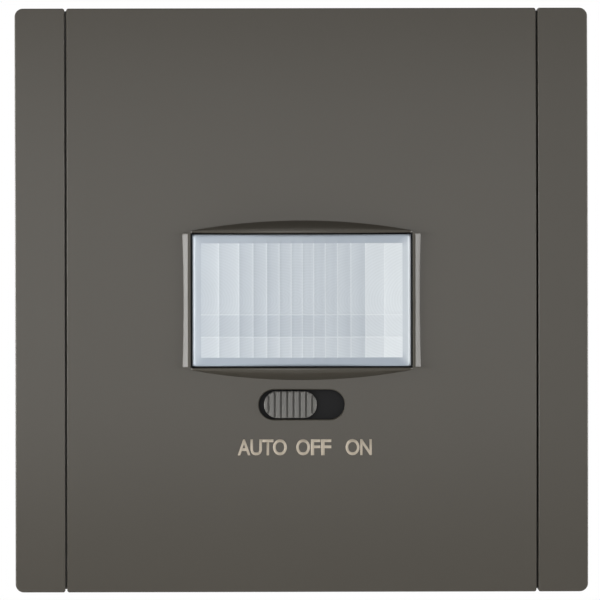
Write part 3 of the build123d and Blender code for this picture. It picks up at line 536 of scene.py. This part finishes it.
def circuit_mask(name, color):
    """Solder mask over faintly raised tracks, with a scatter of bare pads."""
    material, tree, shader, add = node_tree(name)
    place = add("TexCoord").outputs["Object"]
    turned = add("Mapping", {"Vector": place, "Rotation": (math.radians(90), 0, 0)}).outputs["Vector"]
    tracks = add("TexBrick", {"Vector": turned, "Scale": 1.0, "Mortar Size": TRACK_GAP,
                              "Brick Width": TRACK_LENGTH, "Row Height": TRACK_PITCH,
                              "Mortar Smooth": TRACK_SOFTNESS})
    pads = add("TexVoronoi", {"Vector": turned, "Scale": 1 / PAD_PITCH, "Randomness": PAD_SCATTER})
    bare = add("Math", {0: pads.outputs["Distance"], 1: PAD_RADIUS_SHARE}, operation="LESS_THAN")
    mask = add("Mix", {"Factor": tracks.outputs["Fac"]}, data_type="RGBA")
    mask.inputs["A"].default_value = shifted(color, TRACK_SHARES[0])
    mask.inputs["B"].default_value = shifted(color, TRACK_SHARES[1])
    whole = add("Mix", {"Factor": bare.outputs["Value"], "A": mask.outputs["Result"], "B": PAD_COLOR},
                data_type="RGBA")
    tree.links.new(whole.outputs["Result"], shader.inputs["Base Color"])
    tree.links.new(rough_noise(add, place, 1 / MASK_BLOTCH, *MASK_ROUGH), shader.inputs["Roughness"])
    bump = add("Bump", {"Height": tracks.outputs["Fac"], "Strength": TRACK_BUMP_STRENGTH,
                        "Distance": TRACK_BUMP})
    tree.links.new(bump.outputs["Normal"], shader.inputs["Normal"])
    return material


def milky_lens(name):
    """Milky sheet whose fields differ a little in tint, with painted light at the ends and painted shade
    and light on the border, and carry fine ring grooves.
    """
    material, tree, shader, add = node_tree(name)
    place = add("TexCoord").outputs["Object"]
    field = add("Attribute", attribute_name="field_place")
    parts = add("SeparateXYZ", {"Vector": field.outputs["Vector"]})
    flat = add("CombineXYZ", {"X": parts.outputs["X"], "Y": parts.outputs["Y"], "Z": 0.0})
    reach = add("VectorMath", {0: flat.outputs["Vector"]}, operation="LENGTH")
    turns = add("Math", {0: reach.outputs["Value"], 1: 2 * math.pi / RING_PITCH}, operation="MULTIPLY")
    wave = add("Math", {0: turns.outputs["Value"]}, operation="SINE")
    tint = add("Mix", {"Factor": parts.outputs["Z"], "A": LENS_DARK, "B": LENS_PALE}, data_type="RGBA")
    wash = colour_noise(add, place, 1 / LENS_WASH_BLOTCH, LENS_WASH, LENS_WASH_SPREAD)
    soft = add("Mix", {"Factor": 1.0, "A": tint.outputs["Result"], "B": wash}, data_type="RGBA",
               blend_type="MULTIPLY")
    lift = add("MapRange", {"Value": wave.outputs["Value"], "From Min": -1.0, "From Max": 1.0,
                            "To Min": RING_SHARES[0], "To Max": RING_SHARES[1]})
    rings = add("Mix", {"Factor": 1.0, "A": soft.outputs["Result"], "B": lift.outputs["Result"]},
                data_type="RGBA", blend_type="MULTIPLY")
    tree.links.new(rings.outputs["Result"], shader.inputs["Base Color"])
    ridge = add("Bump", {"Height": wave.outputs["Value"], "Strength": RING_BUMP_STRENGTH,
                         "Distance": RING_BUMP})
    tree.links.new(ridge.outputs["Normal"], shader.inputs["Normal"])
    tree.links.new(rough_noise(add, place, 1 / LENS_ROUGH_BLOTCH, *LENS_ROUGH), shader.inputs["Roughness"])
    shader.inputs["Specular IOR Level"].default_value = LENS_SPECULAR
    return material


FINISHES = {
    "face_lacquer": surface("face_lacquer", (0.0725, 0.065, 0.0525), 0.26, specular=0.2, spread=0.02,
                            blotch=14 * MM, grains=LACQUERED),
    "slider_lacquer": surface("slider_lacquer", (0.155, 0.151, 0.142), 0.45, specular=0.3, spread=0.03,
                              grains=LACQUERED),
    "milky_lens": milky_lens("milky_lens"),
    "black_plastic": surface("black_plastic", (0.010, 0.010, 0.011), 0.5, specular=0.15, spread=0.12,
                             grains=MOULDED),
    "dark_plastic": surface("dark_plastic", (0.050, 0.050, 0.053), 0.52, spread=0.08, grains=MOULDED),
    "insert_plastic": surface("insert_plastic", (0.60, 0.60, 0.58), 0.5, spread=0.03, grains=MOULDED),
    "chip_resin": surface("chip_resin", (0.022, 0.022, 0.023), 0.58, spread=0.15, grains=MOULDED),
    "fuse_plastic": surface("fuse_plastic", (0.105, 0.052, 0.032), 0.5, spread=0.08, grains=MOULDED),
    "ferrite": surface("ferrite", (0.06, 0.09, 0.07), 0.62, spread=0.15, grains=MOULDED),
    "dial_white": surface("dial_white", (0.74, 0.73, 0.69), 0.46, spread=0.03, grains=MOULDED),
    "dial_blue": surface("dial_blue", (0.05, 0.13, 0.42), 0.36, spread=0.06, grains=MOULDED),
    "relay_blue": surface("relay_blue", (0.05, 0.12, 0.30), 0.34, spread=0.05, grains=MOULDED),
    "film_yellow": surface("film_yellow", (0.68, 0.52, 0.08), 0.38, spread=0.06, grains=MOULDED),
    "capacitor_sleeve": surface("capacitor_sleeve", (0.03, 0.03, 0.05), 0.28, spread=0.1,
                                grains=LACQUERED),
    "varistor_resin": surface("varistor_resin", (0.03, 0.15, 0.45), 0.3, spread=0.1, grains=MOULDED),
    "lamp_resin": surface("lamp_resin", (0.76, 0.79, 0.81), 0.12, spread=0.03, grains=LACQUERED,
                          Transmission_Weight=0.55),
    "status_resin": surface("status_resin", (0.60, 0.05, 0.04), 0.14, spread=0.05, grains=LACQUERED,
                            Transmission_Weight=0.35),
    "filter_glass": surface("filter_glass", (0.04, 0.035, 0.045), 0.08, spread=0.1, grains=LACQUERED,
                            Coat_Weight=0.4),
    "circuit_board": circuit_mask("circuit_board", (0.02, 0.15, 0.06)),
    "contact_brass": surface("contact_brass", (0.72, 0.55, 0.25), 0.3, metallic=1.0, spread=0.08,
                             blotch=3 * MM, grains=ROLLED),
    "tinned_steel": surface("tinned_steel", (0.62, 0.61, 0.58), 0.32, metallic=1.0, spread=0.06,
                            blotch=3 * MM, grains=ROLLED),
    "ring_steel": zinc("ring_steel", (0.58, 0.59, 0.60), 0.34),
    "terminal_steel": zinc("terminal_steel", (0.55, 0.55, 0.56), 0.36),
    "screw_steel": zinc("screw_steel", (0.60, 0.60, 0.60), 0.28),
    "legend_print": surface("legend_print", (0.485, 0.42, 0.335), 0.5, specular=0.3, spread=0.05,
                            blotch=1.5 * MM, grains=LACQUERED),
}


def dress(piece, body, slot, *nodes, finish=None):
    """Gives a piece its finish and its body, and hides the nodes that it stands for."""
    piece.data.materials.clear()
    piece.data.materials.append(FINISHES[finish or slot])
    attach(piece, body)
    if nodes:
        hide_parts(*nodes)
    return piece


def dress_frame_nodes():
    """Every carried-over CAD node gets the finish of its material slot."""
    for part in frame["record"]["subparts"]:
        node = frame["nodes"][part["node"]]
        node.data.materials.clear()
        node.data.materials.append(FINISHES[part["material_slot"]])


# Front cover

def lip(name, side):
    """One curved lip: its front follows a drum, and its flank rounds over and swings into the face."""
    bm = bmesh.new()
    half = WINDOW_HALF_WIDTH
    inner_z = WINDOW_HALF_TALL - OVERRUN
    rim_z = WINDOW_HALF_TALL + LIP_EDGE
    rings = []
    for i in range(LIP_COLUMNS + 1):
        x = half * (2 * i / LIP_COLUMNS - 1)
        front = FACE_Y - LIP_PROUD + LIP_RADIUS - math.sqrt(LIP_RADIUS ** 2 - x * x)
        reach = LIP_FLARE * max(LIP_LEAST, crown_y(rim_z) - front)
        tall = max(LIP_LEAST, crown_y(rim_z + reach) - front) + LIP_DIP
        root = front + tall + LIP_SINK
        profile = [(root, inner_z), (front, inner_z)]
        for j in range(LIP_PROFILE_STEPS + 1):
            share = j / LIP_PROFILE_STEPS
            fall = 1 - (1 - share ** LIP_CONVEX) ** LIP_CONCAVE
            profile.append((front + tall * fall, rim_z + reach * share))
        profile.append((root, rim_z + reach))
        rings.append([bm.verts.new((x, y, side * z)) for y, z in profile])
    skin(bm, rings)
    return make_object(name, bm)


def cheek(name, side):
    """Raised edge beside the lens, with a flat top and a slanted outer flank."""
    inner = WINDOW_HALF_WIDTH - CHEEK_ROOT
    ledge = WINDOW_HALF_WIDTH + CHEEK_LEDGE
    drop = CHEEK_PROUD + CHEEK_SINK
    bm = bmesh.new()
    rings = []
    for y, outer, tall in ((FACE_Y - CHEEK_PROUD, ledge, WINDOW_HALF_TALL),
                           (FACE_Y + CHEEK_SINK, ledge + drop, WINDOW_HALF_TALL + CHEEK_DRAFT * drop)):
        corners = ((inner, -tall), (outer, -tall), (outer, tall), (inner, tall))
        rings.append([bm.verts.new((side * x, y, z)) for x, z in corners])
    skin(bm, rings)
    return make_object(name, bm)


def cover_shell():
    """Steps that give the plate its corners, its cavity and the seat of the lens holder."""
    corners = middle_outline(COVER_HALF, HALF_TALL, INNER_CORNER)
    inner = COVER_HALF - COVER_SIDE_WALL
    seat = middle_outline(holder_high.x + SEAT_MARGIN, holder_high.z + SEAT_MARGIN, INNER_CORNER)
    return [
        ("INTERSECT", prism("corners", corners, "y", COVER_FRONT, cover_high.y + OVERRUN)),
        ("DIFFERENCE", crowned_block("cavity", -inner, inner, HALF_TALL - COVER_SIDE_WALL,
                                     cover_high.y + OVERRUN, COVER_WALL)),
        ("UNION", prism("seat", seat, "y", FACE_Y + COVER_WALL / 2, holder_low.y)),
    ]


def cover_forms():
    """Steps that add the lips, the raised edges beside the lens and the four bosses."""
    steps = [
        ("UNION", lip("upper_lip", 1)),
        ("UNION", lip("lower_lip", -1)),
        ("UNION", cheek("right_cheek", 1)),
        ("UNION", cheek("left_cheek", -1)),
    ]
    boss_x = screws_high.x - SCREW_HEAD_RADIUS
    boss_z = screws_high.z - SCREW_HEAD_RADIUS
    for side_x in (-1, 1):
        for side_z in (-1, 1):
            boss = disc_prism("boss", BOSS_RADIUS, crown_y(boss_z) + COVER_WALL / 2, BOSS_BACK_Y,
                              side_x * boss_x, side_z * boss_z)
            steps.append(("UNION", boss))
    return steps


def cover_openings():
    """Steps that cut the window and the slider's slot."""
    window = middle_outline(WINDOW_HALF_WIDTH, WINDOW_HALF_TALL, WINDOW_CORNER)
    slot = stadium(0, SLOT_Z, SLOT_WIDTH, SLOT_TALL)
    return [("DIFFERENCE", prism("opening", window, "y", COVER_FRONT, 0)),
            ("DIFFERENCE", prism("slot", slot, "y", COVER_FRONT, 0))]


def front_cover():
    """Crowned plate with the window, the two lips, the slider's slot and four bosses."""
    piece = crowned_block("front_cover_moulding", -COVER_HALF, COVER_HALF, HALF_TALL, cover_high.y)
    combine(piece, *cover_shell(), *cover_forms(), *cover_openings())
    break_edges(piece, crown_y(HALF_TALL) + COVER_WALL / 2)
    smooth(piece)
    return dress(piece, "sensor_unit", "face_lacquer", "front_cover")


# Design frame

def lean_bars(piece):
    """Lets the fronts of the side bars fall a little towards the outer edges."""
    depth = BASE_THICKNESS + FACE_Y
    slope = math.tan(math.radians(BAR_LEAN_DEGREES))
    for v in piece.data.vertices:
        share = max(0.0, (v.co.y + BASE_THICKNESS) / depth)
        v.co.y += share * max(0.0, abs(v.co.x) - BAR_INNER) * slope


def side_bar(side):
    """Steps that add one side bar and hollow it out."""
    outer = frame_high.x
    low, high = sorted((side * BAR_INNER, side * outer))
    bar = crowned_block("bar", low, high, HALF_TALL, 0)
    left, right = (OUTER_CORNER, INNER_CORNER) if side < 0 else (INNER_CORNER, OUTER_CORNER)
    shape = rounded_outline(low, high, -HALF_TALL, HALF_TALL, (left, right, right, left))
    combine(bar, ("INTERSECT", prism("bar_shape", shape, "y", FACE_Y - OVERRUN, OVERRUN)))
    low, high = sorted((side * (BAR_INNER + BAR_WALL), side * (outer - BAR_WALL)))
    hollow = crowned_block("hollow", low, high, HALF_TALL - BAR_WALL, OVERRUN, BAR_WALL)
    return [("UNION", bar), ("DIFFERENCE", hollow)]


def frame_openings():
    """Steps that cut the pocket of the support ring and the opening inside it."""
    pocket_x = ring_high.x + POCKET_CLEARANCE
    pocket_z = ring_high.z + POCKET_CLEARANCE
    pocket = middle_outline(pocket_x, pocket_z, POCKET_CORNER)
    opening = middle_outline(pocket_x - WEB_WIDTH, pocket_z - WEB_WIDTH, POCKET_CORNER - WEB_WIDTH / 2)
    return [("DIFFERENCE", prism("pocket", pocket, "y", -POCKET_DEPTH, OVERRUN)),
            ("DIFFERENCE", prism("opening", opening, "y", -BASE_THICKNESS - OVERRUN, OVERRUN))]


def design_frame():
    """Base ring on the wall with the two crowned side bars, in one moulding."""
    base = middle_outline(frame_high.x, HALF_TALL - BASE_SETBACK, OUTER_CORNER)
    piece = prism("design_frame_moulding", base, "y", -BASE_THICKNESS, 0)
    combine(piece, *side_bar(-1), *side_bar(1), *frame_openings())
    break_edges(piece, -BASE_THICKNESS / 2)
    lean_bars(piece)
    smooth(piece)
    return dress(piece, "insert", "face_lacquer", "design_frame")


# Lens

def grid_lines(half, seams, rounding):
    """Grid lines across the lens: steps in its round edge, narrow seams between fields, and even steps."""
    lines = {half - LENS_BORDER}
    for i in range(LENS_ROUNDING_STEPS + 1):
        lines.add(half - rounding * (1 - math.sin(math.pi / 2 * i / LENS_ROUNDING_STEPS)))
    lines |= {-value for value in lines}
    for seam in seams:
        lines |= {seam - SEAM_HALF_WIDTH, seam, seam + SEAM_HALF_WIDTH}
    ends = sorted(lines)
    for low, high in zip(ends, ends[1:]):
        pieces = max(1, round((high - low) / LENS_GRID))
        lines |= {low + (high - low) * i / pieces for i in range(pieces)}
    return sorted(lines)


def lens_depth(x, z, half_x, half_z, seams_x, seams_z):
    """Depth of the sheet at a point: its bulge, its round edge and the raised seams."""
    over_x = max(0.0, abs(x) - half_x + LENS_ROUNDING)
    over_z = max(0.0, abs(z) - half_z + LENS_ROUNDING_TALL) * LENS_ROUNDING / LENS_ROUNDING_TALL
    y = lens_low.y + LENS_RADIUS - math.sqrt(LENS_RADIUS ** 2 - x * x)
    y += LENS_EDGE_RADIUS - math.sqrt(max(0.0, LENS_EDGE_RADIUS ** 2 - over_x ** 2 - over_z ** 2))
    inside = max(abs(x) - half_x, abs(z) - half_z) < SAME_PLACE - LENS_BORDER
    near_x = any(abs(x - seam) < SAME_PLACE for seam in seams_x)
    near_z = any(abs(z - seam) < SAME_PLACE for seam in seams_z)
    return y - SEAM_RAISE if inside and (near_x or near_z) else y


def lens():
    """Curved milky sheet with a rounded border and 14 by 3 fields parted by thin raised seams."""
    half_x, half_z = LENS_HALF_WIDTH, lens_high.z
    seams_x = [px_x(px) for px in COLUMN_PX]
    seams_z = [px_z(px) for px in ROW_PX]
    xs = grid_lines(half_x, seams_x, LENS_ROUNDING)
    zs = grid_lines(half_z, seams_z, LENS_ROUNDING_TALL)
    bm = bmesh.new()
    sheet = [[bm.verts.new((x, lens_depth(x, z, half_x, half_z, seams_x, seams_z), z)) for z in zs]
             for x in xs]
    for i in range(len(xs) - 1):
        for j in range(len(zs) - 1):
            bm.faces.new((sheet[i][j], sheet[i + 1][j], sheet[i + 1][j + 1], sheet[i][j + 1]))
    edge = ([column[0] for column in sheet] + sheet[-1][1:] + [column[-1] for column in sheet[-2::-1]]
            + sheet[0][-2:0:-1])
    feet = [bm.verts.new((v.co.x, lens_high.y, v.co.z)) for v in edge]
    for i in range(len(edge)):
        j = (i + 1) % len(edge)
        bm.faces.new((edge[i], feet[i], feet[j], edge[j]))
    piece = make_object("lens_sheet", bm)
    shell = piece.modifiers.new("wall", "SOLIDIFY")
    shell.thickness = LENS_WALL
    shell.offset = -1
    shell.use_even_offset = True
    settle(piece)
    mark_fields(piece, seams_x, seams_z)
    smooth(piece, LENS_SMOOTH_ANGLE)
    return dress(piece, "sensor_unit", "milky_lens", "lens")


def painted_border_shade_and_light(x, z, half_x, half_z):
    """Painted shade and light on the smooth border at a point: painted dark above and below, painted paler
    at the two ends.
    """
    share = 0.5 + ((half_z - abs(z)) - (half_x - abs(x))) / BORDER_BLEND
    share = max(0.0, min(1.0, share))
    end = BORDER_PAINTED_SHADE_AND_LIGHT["left" if x < 0 else "right"]
    return (1 - share) * BORDER_PAINTED_SHADE_AND_LIGHT["above" if z > 0 else "below"] + share * end


def field_tints_with_painted_light(columns, half_x):
    """Tint of every field, by its column and its row, with painted light that makes the end columns and
    the right side paler.
    """
    draw = random.Random(TINT_SEED)
    tints = {}
    for i, (left, right) in enumerate(columns):
        # Painted light makes the end columns and the right side of the sheet paler
        column = END_COLUMN_TINTS_WITH_PAINTED_LIGHT.get(i, MIDDLE_TINT + SIDE_PAINTED_LIGHT * (left + right) / 2 / half_x)
        for j, row in enumerate(ROW_TINTS):
            tints[i, j] = column + row + draw.uniform(-TINT_PLAY, TINT_PLAY)
    return tints


def mark_fields(piece, seams_x, seams_z):
    """Writes each point's place in its field's rings, and the field's tint with its painted light and
    shade, on the lens.
    """
    half_x, half_z = LENS_HALF_WIDTH, lens_high.z
    bounds_x = [-half_x + LENS_BORDER] + seams_x + [half_x - LENS_BORDER]
    columns = list(zip(bounds_x, bounds_x[1:]))
    tints = field_tints_with_painted_light(columns, half_x)
    mesh = piece.data
    marks = mesh.attributes.new("field_place", "FLOAT_VECTOR", "CORNER")
    for face in mesh.polygons:
        x, _, z = face.center
        i = sum(x > seam for seam in seams_x)
        j = sum(z < seam for seam in seams_z)
        inside = abs(x) < half_x - LENS_BORDER and abs(z) < half_z - LENS_BORDER
        seam = (any(abs(x - s) < SEAM_HALF_WIDTH for s in seams_x)
                or any(abs(z - s) < SEAM_HALF_WIDTH for s in seams_z))
        left, right = columns[i]
        middle, half = (left + right) / 2, (right - left) / 2
        centre_x = middle * RING_CENTRE_SHARE
        slope = -FIELD_SLOPE * max(-1.0, min(1.0, middle / FIELD_SLOPE_REACH))
        if i >= len(columns) - PLAIN_END_COLUMNS:
            slope = 0.0
        tint = tints[i, j] + SEAM_TINT * seam
        for loop in face.loop_indices:
            place = mesh.vertices[mesh.loops[loop].vertex_index].co
            if inside:
                here = tint + slope * (place.x - middle) / half
                marks.data[loop].vector = (place.x - centre_x, place.z, here)
            else:
                # The border gets painted shade above and below and painted light at its ends
                marks.data[loop].vector = (0.0, 0.0, painted_border_shade_and_light(place.x, place.z, half_x, half_z))


# Mode slider

def thumb_depth(x):
    """Depth of the ribbed front below its crests."""
    place = (x / RIB_PITCH + RIB_COUNT / 2) % 1.0
    away = abs(place - 0.5) * RIB_PITCH
    if abs(x) > RIB_COUNT / 2 * RIB_PITCH or away > RIB_GROOVE_HALF:
        return 0.0
    return RIB_DEPTH * (1 + math.cos(math.pi * away / RIB_GROOVE_HALF)) / 2


def thumb_profile(x):
    """Section of the thumb piece at a place along it: its back corners and its rounded front."""
    radius = THUMB_TALL / 2
    over = max(0.0, abs(x) - THUMB_WIDTH / 2 + radius)
    tall = math.sqrt(max(0.0, radius ** 2 - over ** 2)) + THUMB_TIP_HALF
    edge = min(THUMB_EDGE, tall * THUMB_EDGE_SHARE)
    end = max(0.0, over - radius + THUMB_EDGE) / THUMB_EDGE
    drop = THUMB_EDGE * (1 - math.sqrt(max(0.0, 1 - end ** 2)))
    front = slider_low.y + thumb_depth(x) + drop
    profile = [(slider_high.y - FORK_LENGTH - CARRIER_THICKNESS / 2, -tall)]
    for i in range(THUMB_EDGE_STEPS + 1):
        angle = math.pi / 2 * i / THUMB_EDGE_STEPS
        profile.append((front + edge * (1 - math.sin(angle)), -tall + edge * (1 - math.cos(angle))))
    return profile + [(y, -z) for y, z in reversed(profile)]


def slider_thumb():
    """Ribbed thumb piece with round ends."""
    bm = bmesh.new()
    rings = []
    for i in range(THUMB_COLUMNS + 1):
        x = THUMB_WIDTH * (i / THUMB_COLUMNS - 0.5)
        rings.append([bm.verts.new((THUMB_REST_X + x, y, SLOT_Z + z)) for y, z in thumb_profile(x)])
    skin(bm, rings)
    piece = make_object("slider_thumb", bm)
    smooth(piece)
    return dress(piece, "mode_slider", "slider_lacquer", "slider_knob")


def slider_carrier():
    """Dark strip that closes the slot behind the thumb piece, with the fork for the lever."""
    back = slider_high.y - FORK_LENGTH
    outline = rounded_outline(slider_low.x, slider_high.x, slider_low.z, slider_high.z,
                              (INNER_CORNER,) * 4)
    piece = prism("slider_carrier", outline, "y", back - CARRIER_THICKNESS, back)
    steps = []
    for side in (-1, 1):
        reaches = (FORK_GAP, FORK_GAP + CARRIER_THICKNESS)
        low, high = sorted(THUMB_REST_X + side * reach for reach in reaches)
        prong = rounded_outline(low, high, SLOT_Z - FORK_HALF_TALL, SLOT_Z + FORK_HALF_TALL,
                                (FORK_CORNER,) * 4, FORK_CORNER_STEPS)
        steps.append(("UNION", prism("prong", prong, "y", back - CARRIER_THICKNESS / 2, slider_high.y)))
    combine(piece, *steps)
    smooth(piece)
    return dress(piece, "mode_slider", "black_plastic")


# Printed words below the slider

def letter_mesh(letter):
    """Flat mesh of one letter in the built-in plain font, a little emboldened."""
    curve = bpy.data.curves.new("letter", "FONT")
    curve.body = letter
    curve.size = 1.0
    curve.offset = LETTER_BOLD
    curve.resolution_u = LETTER_CURVE_STEPS
    piece = bpy.data.objects.new("letter", curve)
    bpy.context.scene.collection.objects.link(piece)
    graph = bpy.context.evaluated_depsgraph_get()
    mesh = bpy.data.meshes.new_from_object(piece.evaluated_get(graph))
    bpy.data.objects.remove(piece, do_unlink=True)
    return mesh


def legend():
    """The three positions of the slider, printed on the face."""
    top, foot = px_z(WORD_TOP_PX), px_z(WORD_FOOT_PX)
    for word, places in WORDS_PX.items():
        bm = bmesh.new()
        for letter, (left, right) in zip(word, places):
            done = len(bm.verts)
            bm.from_mesh(letter_mesh(letter))
            bm.verts.ensure_lookup_table()
            fresh = bm.verts[done:]
            low_x, high_x = min(v.co.x for v in fresh), max(v.co.x for v in fresh)
            low_y, high_y = min(v.co.y for v in fresh), max(v.co.y for v in fresh)
            for v in fresh:
                x = px_x(left) + (v.co.x - low_x) / (high_x - low_x) * (px_x(right) - px_x(left))
                z = foot + (v.co.y - low_y) / (high_y - low_y) * (top - foot)
                v.co = (x, crown_y(z) - INK_RAISE, z)
        piece = make_object("legend_" + word.lower(), bm)
        ink = piece.modifiers.new("ink", "SOLIDIFY")
        ink.thickness = INK_THICKNESS
        ink.offset = 0
        settle(piece)
        dress(piece, "sensor_unit", "face_lacquer", finish="legend_print")


# Camera, light and floor

def camera():
    """Long lens a little above the middle of the face."""
    data = bpy.data.cameras.new("camera")
    data.sensor_width = SENSOR
    data.lens = SENSOR * CAMERA_DISTANCE / FRAME_SPAN
    data.clip_start = CAMERA_NEAR
    data.clip_end = CAMERA_FAR
    eye = bpy.data.objects.new("camera", data)
    bpy.context.scene.collection.objects.link(eye)
    azimuth, elevation = math.radians(CAMERA_AZIMUTH), math.radians(CAMERA_ELEVATION)
    away = Vector((math.sin(azimuth) * math.cos(elevation), -math.cos(azimuth) * math.cos(elevation),
                   math.sin(elevation)))
    aim = Vector((AIM_X, FACE_Y, AIM_Z))
    eye.location = aim + away * CAMERA_DISTANCE
    eye.rotation_mode = "QUATERNION"
    roll = Quaternion((0, 0, 1), math.radians(-CAMERA_ROLL))
    eye.rotation_quaternion = (-away).to_track_quat("-Z", "Y") @ roll
    bpy.context.scene.camera = eye


def softbox(name, place, width, tall, power):
    """Large soft lamp, turned to the middle of the device."""
    data = bpy.data.lights.new(name, "AREA")
    data.shape = "RECTANGLE"
    data.size = width
    data.size_y = tall
    data.energy = power
    lamp = bpy.data.objects.new(name, data)
    bpy.context.scene.collection.objects.link(lamp)
    lamp.location = place
    lamp.rotation_mode = "QUATERNION"
    lamp.rotation_quaternion = (Vector(LAMP_AIM) - Vector(place)).to_track_quat("-Z", "Y")


def white_for_camera(tree, shade, plain, white):
    """Mixes a plain shader with white for the rays that see the background."""
    path = tree.nodes.new("ShaderNodeLightPath")
    seen = path.outputs["Is Camera Ray"]
    for ray in ("Is Glossy Ray", "Is Transmission Ray"):
        either = tree.nodes.new("ShaderNodeMath")
        either.operation = "MAXIMUM"
        tree.links.new(seen, either.inputs[0])
        tree.links.new(path.outputs[ray], either.inputs[1])
        seen = either.outputs["Value"]
    share = tree.nodes.new("ShaderNodeMath")
    share.operation = "MULTIPLY"
    share.inputs[1].default_value = shade
    tree.links.new(seen, share.inputs[0])
    mix = tree.nodes.new("ShaderNodeMixShader")
    tree.links.new(share.outputs["Value"], mix.inputs["Fac"])
    tree.links.new(plain, mix.inputs[1])
    tree.links.new(white, mix.inputs[2])
    return mix.outputs["Shader"]


def studio():
    """Soft light from both sides and a little from the front, the top and behind, in a white surround."""
    world = bpy.data.worlds.new("studio")
    bpy.context.scene.world = world
    world.use_nodes = True
    tree = world.node_tree
    fill = tree.nodes["Background"]
    fill.inputs["Color"].default_value = FILL_COLOR
    fill.inputs["Strength"].default_value = FILL_STRENGTH
    white = tree.nodes.new("ShaderNodeBackground")
    white.inputs["Color"].default_value = WHITE
    white.inputs["Strength"].default_value = SURROUND_STRENGTH
    shader = white_for_camera(tree, SURROUND_WHITE_SHARE, fill.outputs["Background"],
                              white.outputs["Background"])
    tree.links.new(shader, tree.nodes["World Output"].inputs["Surface"])
    for name, values in SOFTBOXES.items():
        softbox(name, *values)


def floor():
    """Plain pale floor below the object, white to the camera except for the object's soft shadow."""
    bm = bmesh.new()
    level = cad_box[0].z - FLOOR_DROP
    corners = ((-FLOOR_REACH, -FLOOR_REACH), (FLOOR_REACH, -FLOOR_REACH), (FLOOR_REACH, FLOOR_BACK),
               (-FLOOR_REACH, FLOOR_BACK))
    bm.faces.new([bm.verts.new((x, y, level)) for x, y in corners])
    ground = make_object("floor", bm)
    material, tree, shader, add = node_tree("pale_floor")
    place = add("TexCoord").outputs["Object"]
    tree.links.new(colour_noise(add, place, 1 / FLOOR_BLOTCH, FLOOR_COLOR, FLOOR_SPREAD),
                   shader.inputs["Base Color"])
    shader.inputs["Roughness"].default_value = FLOOR_ROUGH
    white = add("Emission", {"Color": WHITE, "Strength": SURROUND_STRENGTH})
    mixed = white_for_camera(tree, FLOOR_WHITE_SHARE, shader.outputs["BSDF"], white.outputs["Emission"])
    tree.links.new(mixed, tree.nodes["Material Output"].inputs["Surface"])
    ground.data.materials.append(material)


camera()
studio()
floor()
dress_frame_nodes()
front_cover()
design_frame()
lens()
slider_thumb()
slider_carrier()
legend()

bpy.context.scene.view_settings.view_transform = "Standard"
